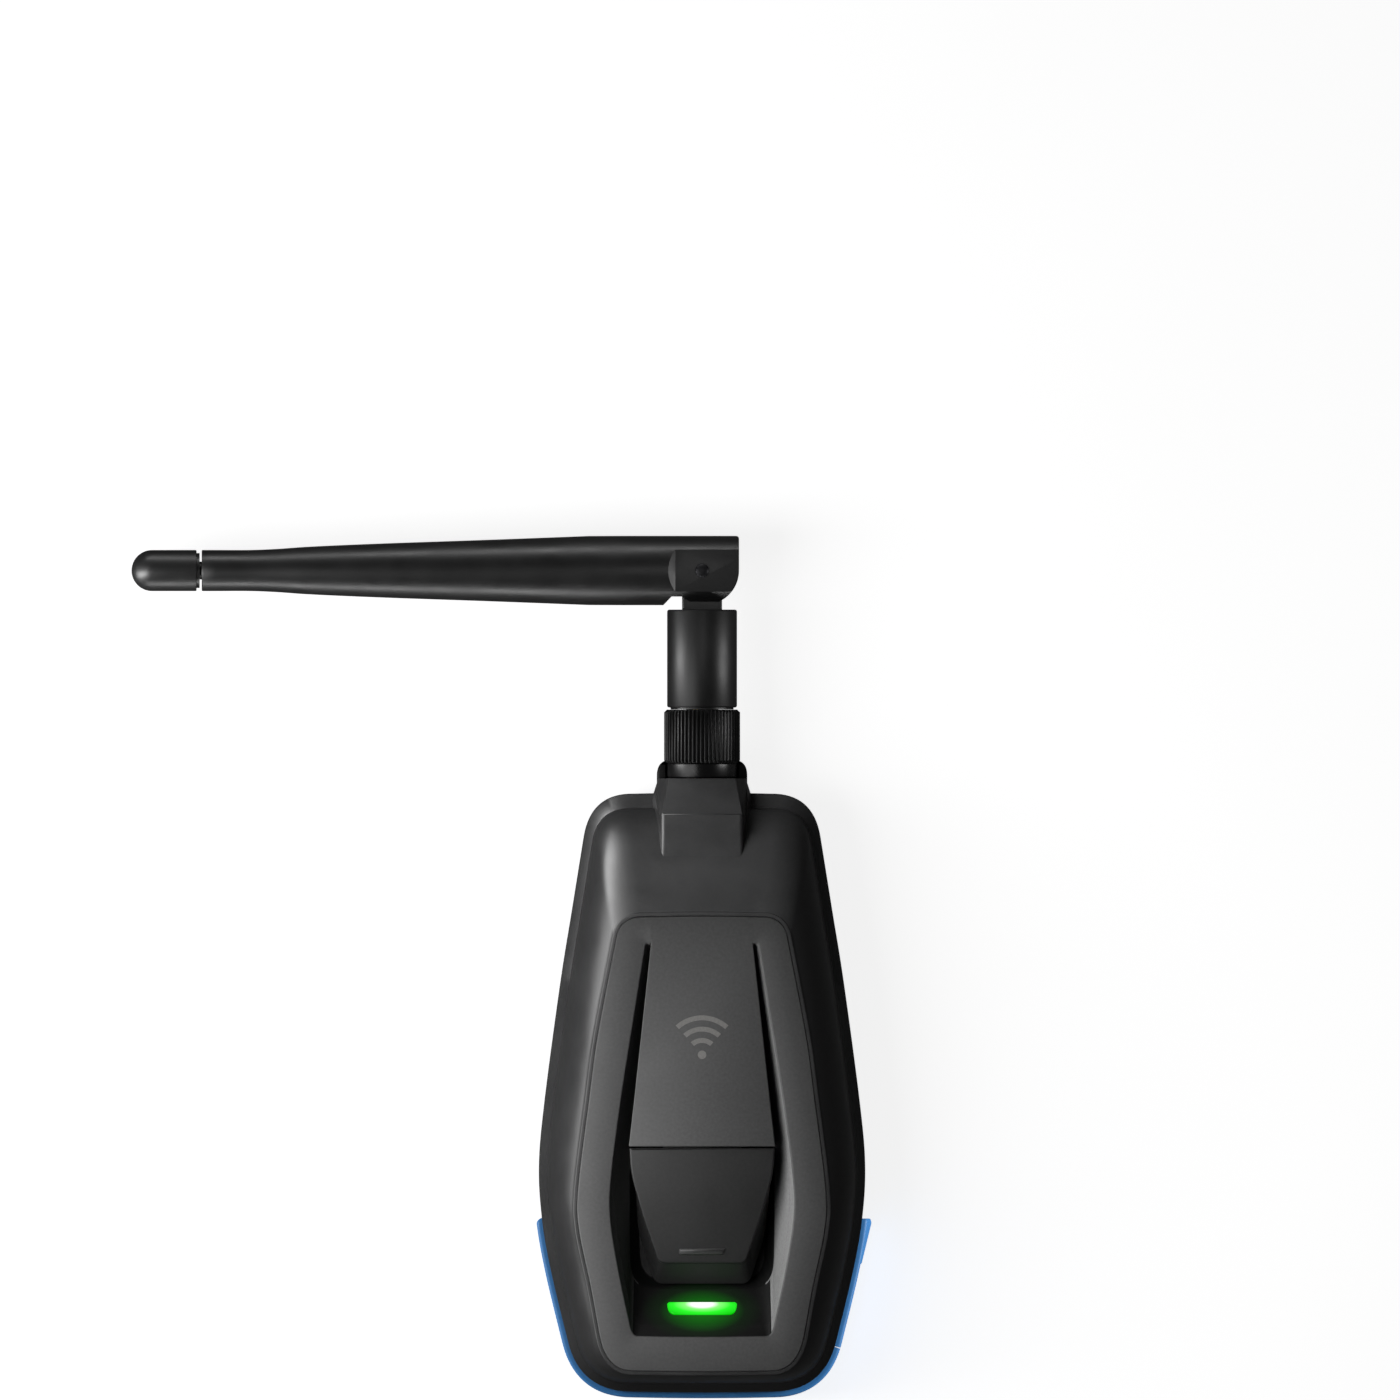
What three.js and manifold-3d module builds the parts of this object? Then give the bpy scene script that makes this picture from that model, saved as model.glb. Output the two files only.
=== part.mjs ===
// A USB Wi-Fi adapter that lies on its back: a tapered casing with a raised face frame, a sloping button
// over a lit well, a blue bumper with a hinged port door, and a folding antenna on a screwed socket.
// Millimetres. +Z comes out of the face, +Y points to the antenna end, and the origin is the middle of
// the flat back.
import * as THREE from 'three';
import { mergeVertices } from 'three/addons/utils/BufferGeometryUtils.js';
import Module from 'manifold-3d';

const wasm = await Module();
wasm.setup();

// ---- Driving dimensions ----

const GAP = 0.3; // clearance between neighbouring pieces
const SOLDER = 0.1; // stand-off of a component on the board
const ROUND = 32; // sides of a turned piece
const SMALL_ROUND = 16; // sides of a small hole or pin
const FAR = 60; // beyond the casing on any side

// Heights above the back
const AXIS_Z = 10.5; // parting plane of the casing and axis of the antenna socket
const RIM_Z = 12.3; // ledge round the foot of the top shell
const FACE_Z = 21.5; // top of the face frame
const FACE_THICKNESS = 1.5;
const WELL_FOOT_Z = 15.2; // where the flared walls end
const WELL_FLOOR_Z = 12.8; // bottom of the pocket round the button
const HOOD_Z = 18.9; // top of the hood over the socket

// Casing walls
const COVER_FLOOR = 2;
const COVER_WALL = 2.6;
const SHELL_WALL = 1.9;
const TRAY_WALL = 1.2;
const END_CROWN = 0.12; // how far the end edges bulge in the middle
const FLANK_ARC = THREE.MathUtils.degToRad(60); // how far the flank curves over

// Plan outlines, right half: the width at the ends and the points that the side passes through
const SILHOUETTE = {
  topY: 43.65,
  topHalf: 10,
  side: [
    [17.3, 37.2], [19, 26.6], [20.7, 16], [23, -1.2],
    [23.85, -10.6], [23.4, -18.4], [22.1, -26], [19.6, -36.4],
  ],
  bottomHalf: 10,
  bottomY: -43.9,
};
const PLATEAU = {
  topY: 25.7,
  topHalf: 8.5,
  side: [[12.5, 22.6], [15.2, 8.5], [16.5, -1], [18.1, -14], [18, -20], [16.3, -28.3], [15, -35.4]],
  bottomHalf: 10,
  bottomY: -40.9,
};
const WELL = {
  topY: 21.75,
  topHalf: 7.8,
  side: [[8.3, 21.2], [10, 10.5], [11.8, -1], [13.2, -12], [13.4, -18], [12.3, -25.5], [10.5, -34.1]],
  bottomHalf: 9.2,
  bottomY: -35.8,
};
const WELL_FOOT = {
  topY: 20.6,
  topHalf: 6,
  side: [[6.5, 20.1], [8.1, 10.5], [9.7, -1], [10.5, -10], [10.6, -16], [10.6, -20], [10.5, -24.6]],
  bottomHalf: 6.8,
  bottomY: -28.8,
};

// Tongue and button
const TONGUE = { topHalf: 7.35, topY: 22.6, bendHalf: 9.9, bendY: -1, endHalf: 10.7, endY: -8 };
const BUTTON_PIVOT = { y: -4.5, z: 17.2 };
const BUTTON_TOP_Y = TONGUE.endY - 0.35;
const BUTTON_BASE_Z = 14.6;
const BUTTON_NOSE_Z = 17.4; // height of the face where the end bevel starts
const SWITCH_Y = -14;

// Light bar in the sloping end wall of the well
const LIGHT = { half: 5, topY: -30.8, bottomY: -32.5 };

// Board
const BOARD_Z = 3.4;
const BOARD_TOP = 4.6;

// Bumper strip and port door
const STRIP = { low: 2.8, high: 9.2, proud: 0.85, sunk: 0.6, leftY: -18.3 };
const DOOR = { seamY: -37.2, topY: -18.5 };
const PORT = { mouthX: 19.1, depth: 7, lowY: -31, highY: -22, height: 3.2 };

// Casing screws
const SCREWS = [[-11.5, 33.5], [11.5, 33.5], [-14.6, -35], [14.6, -35]];
const POST_RADIUS = 2.2;
const POST_LOW = 8; // foot of the posts that hang from the top shell
const SCREW_HOLE = 1.2;
const COUNTERBORE = { radius: 2.3, depth: 2.5 };

// Antenna, along Y from the socket
const SOCKET_RADIUS = 3.1;
const FLANGE = { radius: 4.5, low: 40.3, high: 43.1 };
const WALL_END = 45.75; // outer face of the wall that the socket passes through
const NUT = { start: 46.05, knurlStart: 48, end: 55.8, skirtRadius: 5.05, knurlRadius: 5.55, ridges: 56 };
const NUT_BORE = 3.4;
const RIDGE_DEPTH = 0.35;
const NUT_LIP_Y = 52.9; // from here the bore is only as wide as the plug's neck
const PLUG_ROOM = 2.75; // radius of the room for the neck
const SLEEVE = { start: 56.1, end: 70.4, radius: 5.1 };
const PIVOT_Y = 76.1;
const POST_HALF = 2.925;
const POST_THICKNESS = 4.2;
const PIN_RADIUS = 1.035;

// Mast, measured from the pivot towards the tip
const MAST = { root: 5.06, forkEnd: 5.4, sheathEnd: 73.05, grooveEnd: 73.8, tip: 83.3, tipRadius: 3 };
const FORK_SLOT = 2.4; // half the width of the slot
const CHEEK_HALF = 4.2; // half the thickness across the flats
const FLAT_START = 4.2; // where the flats begin, towards the tip

// ---- Shape helpers ----

// Turns a closed geometry into a solid that can be joined and cut.
function solid(geometry) {
  geometry.deleteAttribute('normal');
  geometry.deleteAttribute('uv');
  const welded = mergeVertices(geometry, 1e-4);
  const vertProperties = new Float32Array(welded.attributes.position.array);
  const triVerts = new Uint32Array(welded.index.array);
  return new wasm.Manifold(new wasm.Mesh({ numProp: 3, vertProperties, triVerts }));
}

// Turns a solid back into a geometry.
function geometryOf(body) {
  const mesh = body.getMesh();
  const geometry = new THREE.BufferGeometry();
  geometry.setAttribute('position', new THREE.BufferAttribute(new Float32Array(mesh.vertProperties), 3));
  geometry.setIndex(new THREE.BufferAttribute(new Uint32Array(mesh.triVerts), 1));
  geometry.computeVertexNormals();
  return geometry;
}

function block(x0, x1, y0, y1, z0, z1) {
  const geometry = new THREE.BoxGeometry(x1 - x0, y1 - y0, z1 - z0);
  return solid(geometry.translate((x0 + x1) / 2, (y0 + y1) / 2, (z0 + z1) / 2));
}

// A cylinder along one axis, between two places on it.
function rod(axis, radius, from, to, centre = [0, 0, 0], sides = ROUND) {
  const geometry = new THREE.CylinderGeometry(radius, radius, to - from, sides);
  if (axis === 'x') geometry.rotateZ(-Math.PI / 2);
  if (axis === 'z') geometry.rotateX(Math.PI / 2);
  const middle = new THREE.Vector3(...centre);
  middle[axis] = (from + to) / 2;
  return solid(geometry.translate(middle.x, middle.y, middle.z));
}

// A plan shape extruded upwards.
function prism(shape, z0, z1, curveSegments = 6) {
  const geometry = new THREE.ExtrudeGeometry(shape, { depth: z1 - z0, bevelEnabled: false, curveSegments });
  return solid(geometry.translate(0, 0, z0));
}

function polygon(points) {
  return new THREE.Shape(points.map(([x, y]) => new THREE.Vector2(x, y)));
}

// A side-view shape, drawn in Y and Z, extruded along X.
function sidePrism(points, halfWidth) {
  const options = { depth: 2 * halfWidth, bevelEnabled: false };
  const geometry = new THREE.ExtrudeGeometry(polygon(points), options);
  const axes = new THREE.Matrix4().makeBasis(
    new THREE.Vector3(0, 1, 0),
    new THREE.Vector3(0, 0, 1),
    new THREE.Vector3(1, 0, 0),
  );
  return solid(geometry.applyMatrix4(axes).translate(-halfWidth, 0, 0));
}

// A turned piece: pairs of radius and place along Y, starting and ending on the axis.
function turned(profile, sides = ROUND) {
  return solid(new THREE.LatheGeometry(profile.map(([radius, y]) => new THREE.Vector2(radius, y)), sides));
}

// The closed outline of a casing part, anticlockwise from above. Outlines have the same number of points,
// so that one can be lofted into another.
function outline({ topY, topHalf, side, bottomHalf, bottomY }) {
  const places = side.map(([x, y]) => new THREE.Vector2(x, y));
  const first = places[0];
  const last = places[places.length - 1];
  const topCorner = cornerOn(topY, first, places[1]);
  const bottomCorner = cornerOn(bottomY, last, places[places.length - 2]);
  const half = new THREE.Path();
  half.moveTo(0, topY);
  half.lineTo(topHalf, topY - END_CROWN);
  half.quadraticCurveTo(topCorner.x, topCorner.y, first.x, first.y);
  half.splineThru(places.slice(1));
  half.quadraticCurveTo(bottomCorner.x, bottomCorner.y, bottomHalf, bottomY + END_CROWN);
  half.lineTo(0, bottomY);
  const pieces = [1, 5, 9, 5, 1];
  const right = half.curves.flatMap((curve, i) => curve.getPoints(pieces[i]).slice(1));
  right.unshift(new THREE.Vector2(0, topY));
  const left = right.slice(1, -1).map((point) => new THREE.Vector2(-point.x, point.y));
  return [...right.reverse(), ...left];
}

// Where the side, carried on past its end, meets the level of the end edge.
function cornerOn(y, end, before) {
  const slope = (end.x - before.x) / (end.y - before.y);
  return new THREE.Vector2(end.x + slope * (y - end.y), y);
}

// The outline moved inwards, with its own distance at the top end. A negative distance moves it outwards.
function inset(points, distance, topDistance = distance) {
  return points.map((point, i) => {
    const before = points[(i + points.length - 1) % points.length];
    const after = points[(i + 1) % points.length];
    const outward = new THREE.Vector2(after.y - before.y, before.x - after.x).normalize();
    const move = distance + (topDistance - distance) * Math.max(0, outward.y);
    return point.clone().addScaledVector(outward, -move);
  });
}

// The outline scaled down about its middle, until each of its ends has moved in by a distance.
function shrunk(points, distance) {
  const box = new THREE.Box2().setFromPoints(points);
  const middle = box.getCenter(new THREE.Vector2());
  const size = box.getSize(new THREE.Vector2());
  const scale = new THREE.Vector2(1 - (2 * distance) / size.x, 1 - (2 * distance) / size.y);
  return points.map((point) => point.clone().sub(middle).multiply(scale).add(middle));
}

function ring(points, z) {
  return points.map((point) => new THREE.Vector3(point.x, point.y, z));
}

function between(from, to, share) {
  return from.map((point, i) => point.clone().lerp(to[i], share));
}

// A solid through level rings, lowest first.
function loft(rings) {
  const count = rings[0].length;
  const index = [];
  for (let level = 0; level < rings.length - 1; level += 1) {
    for (let i = 0; i < count; i += 1) {
      const low = level * count + i;
      const lowNext = level * count + ((i + 1) % count);
      index.push(low, lowNext, lowNext + count, low, lowNext + count, low + count);
    }
  }
  const top = (rings.length - 1) * count;
  addCap(index, rings[0], 0, true);
  addCap(index, rings[rings.length - 1], top, false);
  const geometry = new THREE.BufferGeometry();
  const positions = rings.flat().flatMap((point) => [point.x, point.y, point.z]);
  geometry.setAttribute('position', new THREE.Float32BufferAttribute(positions, 3));
  geometry.setIndex(index);
  return solid(geometry);
}

function addCap(index, points, offset, facesDown) {
  const flat = points.map((point) => new THREE.Vector2(point.x, point.y));
  for (const [a, b, c] of THREE.ShapeUtils.triangulateShape(flat, [])) {
    const corners = facesDown ? [a, c, b] : [a, b, c];
    index.push(...corners.map((corner) => corner + offset));
  }
}

// The left and right points of a symmetrical polygon, from its right-hand points.
function mirrored(rightPoints) {
  const left = rightPoints.map(([x, ...rest]) => [-x, ...rest]).reverse();
  return [...rightPoints, ...left];
}

function joined(...bodies) {
  return bodies.reduce((sum, body) => sum.add(body));
}

// ---- Scene ----

const adapter = new THREE.Group();
const antenna = new THREE.Group();
antenna.position.z = AXIS_Z;
const mast = new THREE.Group();
mast.position.y = PIVOT_Y;
antenna.add(mast);
adapter.add(antenna);

function finish(color, roughness, metalness = 0) {
  return new THREE.MeshStandardMaterial({ color, roughness, metalness });
}

const blackShell = finish(0x2c2c2d, 0.5);
const greyFrame = finish(0x4a4a4a, 0.55);
const darkButton = finish(0x2e2e2e, 0.5);
const wellBlack = finish(0x141414, 0.45);
const blueRubber = finish(0x2f6fb0, 0.6);
const antennaBlack = finish(0x1f1f20, 0.6);
const nutBlack = finish(0x0e0e0e, 0.35);
const greenLight = finish(0x18e018, 0.3);
const brass = finish(0xc9a050, 0.3, 1);
const steel = finish(0xb8bcc0, 0.35, 1);
const blackSteel = finish(0x202124, 0.4, 1);
const boardGreen = finish(0x12502c, 0.5);
const chipBlack = finish(0x17181a, 0.45);
const ptfe = finish(0xe8e6dc, 0.6);
const cableBlack = finish(0x101010, 0.5);
const copper = finish(0xb5653a, 0.35, 1);

function add(name, body, material, parent = adapter) {
  const mesh = new THREE.Mesh(geometryOf(body), material);
  mesh.name = name;
  parent.add(mesh);
}

// ---- Casing ----

const silhouette = outline(SILHOUETTE);
const plateau = outline(PLATEAU);
const well = outline(WELL);
const wellFoot = outline(WELL_FOOT);

// Rings of the top shell from the ledge over the curved flank, a given thickness inside the outer face.
function flankRings(thickness) {
  const foot = inset(silhouette, 1.3 + thickness, 2.2 + thickness);
  const head = inset(plateau, thickness - 0.6);
  const rise = FACE_Z - 0.4 - RIM_Z;
  return [0, 0.25, 0.5, 0.75, 1].map((step) => {
    const angle = step * FLANK_ARC;
    const across = (1 - Math.cos(angle)) / (1 - Math.cos(FLANK_ARC));
    const up = Math.sin(angle) / Math.sin(FLANK_ARC);
    return ring(between(foot, head, across), RIM_Z + rise * up - thickness);
  });
}

function screwPosts(radius, from, to) {
  return joined(...SCREWS.map(([x, y]) => rod('z', radius, from, to, [x, y, 0], SMALL_ROUND)));
}

// Room for the socket: its barrel through the end wall and its flange behind that wall.
function socketRoom() {
  return joined(
    rod('y', SOCKET_RADIUS + GAP, 34, WALL_END + 1, [0, 0, AXIS_Z]),
    rod('y', FLANGE.radius + GAP, FLANGE.low - GAP, FLANGE.high + GAP, [0, 0, AXIS_Z]),
  );
}

// The hood over the socket: flat on top, sloping down at its end, narrower above than below.
function hood() {
  const start = 30;
  const slopeStart = 40.5;
  const slopeEndZ = 15.9;
  const level = (points, z) => mirrored(points).map(([x, y]) => new THREE.Vector3(x, y, z));
  const sides = loft([
    level([[7.4, start], [7.4, 43], [6.7, 44.4], [6.4, WALL_END]], AXIS_Z),
    level([[5.7, start], [5.7, 40.4], [5.5, 43], [5.3, WALL_END]], HOOD_Z + 1),
  ]);
  const profile = sidePrism(
    [[start, AXIS_Z], [WALL_END, AXIS_Z], [WALL_END, slopeEndZ], [slopeStart, HOOD_Z], [start, HOOD_Z]],
    9,
  );
  return sides.intersect(profile);
}

function topShell() {
  const skin = [
    ring(silhouette, AXIS_Z),
    ring(inset(silhouette, 0.05), RIM_Z - 0.5),
    ring(inset(silhouette, 0.4), RIM_Z),
    ...flankRings(0),
  ];
  const hollow = loft([ring(inset(silhouette, COVER_WALL), AXIS_Z - 1), ...flankRings(SHELL_WALL)])
    .subtract(block(-8, 8, 38, 50, AXIS_Z - 2, HOOD_Z + 1))
    .subtract(screwPosts(POST_RADIUS, 9, FACE_Z));
  const seat = loft([
    ring(inset(plateau, -0.15), FACE_Z - FACE_THICKNESS - GAP),
    ring(inset(plateau, -0.15), FACE_Z + 1),
  ]);
  const window = loft([ring(inset(plateau, 2.2), AXIS_Z + 2), ring(inset(plateau, 2.2), FACE_Z)]);
  return loft(skin)
    .add(hood())
    .subtract(hollow)
    .add(screwPosts(POST_RADIUS - 0.1, POST_LOW, AXIS_Z + 1))
    .subtract(seat)
    .subtract(window)
    .subtract(screwPosts(SCREW_HOLE, POST_LOW - 1, 14))
    .subtract(socketRoom());
}

// The raised frame with the tongue that runs down over the well.
function faceFrame() {
  const plate = loft([
    ring(inset(plateau, 0.15), FACE_Z - FACE_THICKNESS),
    ring(inset(plateau, 0.15), FACE_Z - 0.25),
    ring(inset(plateau, 0.4), FACE_Z),
  ]);
  const opening = loft([
    flareRing(FACE_Z - FACE_THICKNESS - 1),
    flareRing(FACE_Z - 0.3),
    ring(inset(well, -0.6), FACE_Z + 0.3),
  ]);
  const { topHalf, topY, bendHalf, bendY, endHalf, endY } = TONGUE;
  const plan = mirrored([[endHalf, endY], [bendHalf, bendY], [topHalf, topY]]);
  return plate.subtract(opening).add(prism(polygon(plan), FACE_Z - FACE_THICKNESS, FACE_Z));
}

// The flared wall of the well at a given height.
function flareRing(z, outside = 0) {
  const share = (FACE_Z - z) / (FACE_Z - WELL_FOOT_Z);
  return ring(inset(between(well, wellFoot, share), -outside), z);
}

// Height of the sloping end wall on the centre line.
function endWallZ(y) {
  const share = (WELL.bottomY - y) / (WELL.bottomY - WELL_FOOT.bottomY);
  return FACE_Z - share * (FACE_Z - WELL_FOOT_Z);
}

// The well: flared walls, a pocket round the button, and two lugs for the button's pin.
function wellTray() {
  const top = FACE_Z - FACE_THICKNESS - GAP;
  const bottom = WELL_FLOOR_Z - TRAY_WALL;
  const pocket = shrunk(wellFoot, 1.3);
  const outer = loft([
    ring(inset(pocket, -TRAY_WALL), bottom),
    flareRing(WELL_FOOT_Z - 0.4, TRAY_WALL),
    flareRing(top, TRAY_WALL),
  ]);
  const inner = loft([
    ring(pocket, WELL_FLOOR_Z),
    ring(wellFoot, WELL_FOOT_Z),
    flareRing(top + 0.5),
  ]);
  const { y, z } = BUTTON_PIVOT;
  const lugs = [-6.9, 6.9].map((x) => block(x - 0.8, x + 0.8, y - 2, y + 2, bottom + 0.5, z + 2));
  const stemHole = block(-2.3, 2.3, SWITCH_Y - 2.5, SWITCH_Y + 2.5, bottom - 1, WELL_FLOOR_Z + 1);
  return outer
    .subtract(inner)
    .add(joined(...lugs))
    .subtract(rod('x', 0.9, -9, 9, [0, y, z], SMALL_ROUND))
    .subtract(stemHole)
    .subtract(prism(lightPlan(GAP), bottom - 1, FACE_Z));
}

// The light bar from above: a straight far edge and rounded near corners.
function lightPlan(margin) {
  const half = LIGHT.half + margin;
  const top = LIGHT.topY + margin;
  const bottom = LIGHT.bottomY - margin;
  const shape = new THREE.Shape();
  shape.moveTo(-half, top);
  shape.quadraticCurveTo(-half, bottom, -half + 1.2, bottom);
  shape.lineTo(half - 1.2, bottom);
  shape.quadraticCurveTo(half, bottom, half, top);
  shape.closePath();
  return shape;
}

// The bar fills its slot in the end wall, and a narrow stem brings the light up from the board.
function lightPipe() {
  const stand = 0.15; // how far the bar stands out of the wall
  const foot = 13;
  const [low, high] = [LIGHT.bottomY - 1, LIGHT.topY + 1];
  const cut = sidePrism(
    [[low, foot], [high, foot], [high, endWallZ(high) + stand], [low, endWallZ(low) + stand]],
    LIGHT.half + 1,
  );
  const stemTop = foot + 0.5;
  const stem = block(-1.6, 1.6, LIGHT.bottomY + 0.2, LIGHT.topY - 0.2, BOARD_TOP + 1.4, stemTop);
  return prism(lightPlan(0), foot, FACE_Z).intersect(cut).add(stem);
}

function backCover() {
  const top = AXIS_Z - GAP;
  const outer = loft([
    ring(inset(silhouette, 3), 0),
    ring(inset(silhouette, 1.7), 0.8),
    ring(inset(silhouette, 0.8), 2.4),
    ring(inset(silhouette, 0.15), 6.5),
    ring(silhouette, top),
  ]).add(collar(top));
  const hollow = loft([
    ring(inset(silhouette, COVER_WALL + 1.2), COVER_FLOOR),
    ring(inset(silhouette, COVER_WALL), COVER_FLOOR + 2),
    ring(inset(silhouette, COVER_WALL), top + 1),
  ]).subtract(block(-8, 8, 38, 50, 0, AXIS_Z + 2));
  const recess = stripBand(STRIP.low - GAP, STRIP.high + GAP, 3, STRIP.sunk + GAP);
  const recessSpan = joined(
    block(-FAR, 0, -FAR, STRIP.leftY + GAP, 0, AXIS_Z),
    block(-1, FAR, -FAR, DOOR.topY + GAP, 0, AXIS_Z),
  );
  const portHole = block(
    PORT.mouthX - 2,
    FAR,
    PORT.lowY - 0.5,
    PORT.highY + 0.5,
    BOARD_TOP - 0.3,
    BOARD_TOP + PORT.height + 0.5,
  );
  return outer
    .subtract(hollow)
    .add(screwPosts(POST_RADIUS + 0.4, 0.5, POST_LOW - GAP))
    .subtract(screwPosts(SCREW_HOLE, -1, 9))
    .subtract(screwPosts(COUNTERBORE.radius, -1, COUNTERBORE.depth))
    .subtract(recess.intersect(recessSpan))
    .subtract(portHole)
    .subtract(socketRoom())
    .subtract(rod('y', NUT.skirtRadius + 0.35, WALL_END, NUT.knurlStart - 0.2, [0, 0, AXIS_Z]))
    .subtract(rod('y', NUT.knurlRadius + GAP, NUT.knurlStart - 0.25, 50, [0, 0, AXIS_Z]));
}

// The lower half of the collar round the nut, with rounded corners at its end.
function collar(top) {
  const half = 6.6;
  const end = 48.5;
  const shape = new THREE.Shape();
  shape.moveTo(-half - 0.7, 36);
  shape.lineTo(half + 0.7, 36);
  shape.lineTo(half + 0.7, 43);
  shape.quadraticCurveTo(half, 43.8, half, 45);
  shape.lineTo(half, 46.2);
  shape.quadraticCurveTo(half, end, half - 2.2, end);
  shape.lineTo(2.2 - half, end);
  shape.quadraticCurveTo(-half, end, -half, 46.2);
  shape.lineTo(-half, 45);
  shape.quadraticCurveTo(-half, 43.8, -half - 0.7, 43);
  shape.closePath();
  return prism(shape, 2.9, top);
}

// A band round the casing, between two distances outside and inside its silhouette.
function stripBand(low, high, outside, inside) {
  const outer = loft([ring(inset(silhouette, -outside), low), ring(inset(silhouette, -outside), high)]);
  const inner = loft([ring(inset(silhouette, inside), low - 1), ring(inset(silhouette, inside), high + 1)]);
  return outer.subtract(inner);
}

function bumperStrip() {
  const span = joined(
    block(-FAR, 0, -FAR, STRIP.leftY, 0, AXIS_Z),
    block(-1, FAR, -FAR, DOOR.seamY - GAP / 2, 0, AXIS_Z),
  );
  return stripBand(STRIP.low, STRIP.high, STRIP.proud, STRIP.sunk).intersect(span);
}

// The door: its stretch of the band, a finger tab at the far end and a plug rib that fills the port.
function portDoor() {
  const span = block(10, FAR, DOOR.seamY + GAP / 2, DOOR.topY, 0, AXIS_Z);
  const flap = stripBand(STRIP.low, STRIP.high, STRIP.proud, STRIP.sunk).intersect(span);
  const tabPlan = [[22.6, -25.3], [23.6, -24.9], [24.8, -19], [24.6, DOOR.topY], [23, DOOR.topY]];
  const tab = prism(polygon(tabPlan), STRIP.low + 0.8, STRIP.high - 0.8);
  const ribSpan = block(10, FAR, PORT.lowY + 0.1, PORT.highY - 0.1, 0, AXIS_Z);
  const rib = stripBand(BOARD_TOP + 0.3, BOARD_TOP + PORT.height - 0.2, 0, 1.5).intersect(ribSpan);
  return flap.add(tab).add(rib);
}

add('top_shell', topShell(), blackShell);
add('face_frame', faceFrame(), greyFrame);
add('well_tray', wellTray(), wellBlack);
add('light_pipe', lightPipe(), greenLight);
add('back_cover', backCover(), blackShell);
add('bumper_strip', bumperStrip(), blueRubber);
add('port_door', portDoor(), blueRubber);

// ---- Casing screws ----

function casingScrew([x, y]) {
  const headTop = COUNTERBORE.depth - SOLDER;
  const headBottom = headTop - 1.3;
  const slots = joined(
    block(x - 1.3, x + 1.3, y - 0.25, y + 0.25, headBottom - 1, headBottom + 0.7),
    block(x - 0.25, x + 0.25, y - 1.3, y + 1.3, headBottom - 1, headBottom + 0.7),
  );
  return rod('z', 1.9, headBottom, headTop, [x, y, 0], SMALL_ROUND)
    .add(rod('z', 0.85, headTop - 0.2, 13, [x, y, 0], SMALL_ROUND))
    .subtract(slots);
}

SCREWS.forEach((place, i) => add(`casing_screw_${i + 1}`, casingScrew(place), blackSteel));

// ---- Button ----

function buttonPaddle() {
  const faceSlope = (FACE_Z - BUTTON_NOSE_Z) / (BUTTON_TOP_Y + 25.1);
  const faceZ = (y) => FACE_Z + (y - BUTTON_TOP_Y) * faceSlope;
  const base = [[6.9, -28], [7.6, -27.3], [9.5, -20], [9.8, -12.5], [9.8, BUTTON_TOP_Y]];
  const face = [[6.3, -25.1], [6.8, -24.6], [8.6, -18.4], [10.5, -11.7], [10.6, BUTTON_TOP_Y]];
  const paddle = loft([
    mirrored(base).map(([x, y]) => new THREE.Vector3(x, y, BUTTON_BASE_Z)),
    mirrored(face).map(([x, y]) => new THREE.Vector3(x, y, faceZ(y))),
  ]);
  const [dashLow, dashHigh] = [-23.8, -22.9];
  const dash = sidePrism(
    [
      [dashLow, faceZ(dashLow) - 1], [dashHigh, faceZ(dashHigh) - 1],
      [dashHigh, faceZ(dashHigh) + 0.3], [dashLow, faceZ(dashLow) + 0.3],
    ],
    3.3,
  );
  const { y, z } = BUTTON_PIVOT;
  const tail = block(-5.7, 5.7, BUTTON_TOP_Y - 1, y + 1.9, z - 1.8, z + 1.8);
  const stem = block(-1.5, 1.5, SWITCH_Y - 1.5, SWITCH_Y + 1.5, 11.1, BUTTON_BASE_Z + 1);
  return paddle.add(dash).add(tail).add(stem).subtract(rod('x', 0.9, -9, 9, [0, y, z], SMALL_ROUND));
}

add('button_paddle', buttonPaddle(), darkButton);
add('button_pin', rod('x', 0.6, -7.6, 7.6, [0, BUTTON_PIVOT.y, BUTTON_PIVOT.z], SMALL_ROUND), steel);

// ---- Circuit board and what is on it ----

function mainBoard() {
  const right = [[9, -40.2], [11, -38.5], [13.5, -29.5], [17.5, -24], [18.5, -10], [14.5, 26], [9, 35.5]];
  return prism(polygon(mirrored(right)), BOARD_Z, BOARD_TOP)
    .subtract(screwPosts(POST_RADIUS + 0.8, 0, 9));
}

// A folded cover, open towards the board.
function shieldCan() {
  const low = BOARD_TOP + SOLDER;
  return block(-9, 9, 2, 24, low, low + 3).subtract(block(-8.7, 8.7, 2.3, 23.7, low - 1, low + 2.7));
}

function chip(x, y, width, length, height) {
  const low = BOARD_TOP + SOLDER;
  return block(x - width / 2, x + width / 2, y - length / 2, y + length / 2, low, low + height);
}

function usbShell() {
  const low = BOARD_TOP + SOLDER;
  const outer = block(PORT.mouthX - PORT.depth, PORT.mouthX, PORT.lowY, PORT.highY, low, low + PORT.height);
  const inner = block(
    PORT.mouthX - PORT.depth + 0.6,
    PORT.mouthX + 1,
    PORT.lowY + 0.35,
    PORT.highY - 0.35,
    low + 0.35,
    low + PORT.height - 0.35,
  );
  return outer.subtract(inner);
}

function usbContacts() {
  const middle = BOARD_TOP + SOLDER + PORT.height / 2;
  const back = PORT.mouthX - PORT.depth + 0.9;
  return block(back, PORT.mouthX - 0.8, PORT.lowY + 1.2, PORT.highY - 1.2, middle - 0.35, middle + 0.35);
}

function switchBody() {
  const low = BOARD_TOP + SOLDER;
  return block(-3, 3, SWITCH_Y - 3, SWITCH_Y + 3, low, 10.1)
    .subtract(rod('z', 1.9, 8.7, 11, [0, SWITCH_Y, 0], SMALL_ROUND));
}

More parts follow.
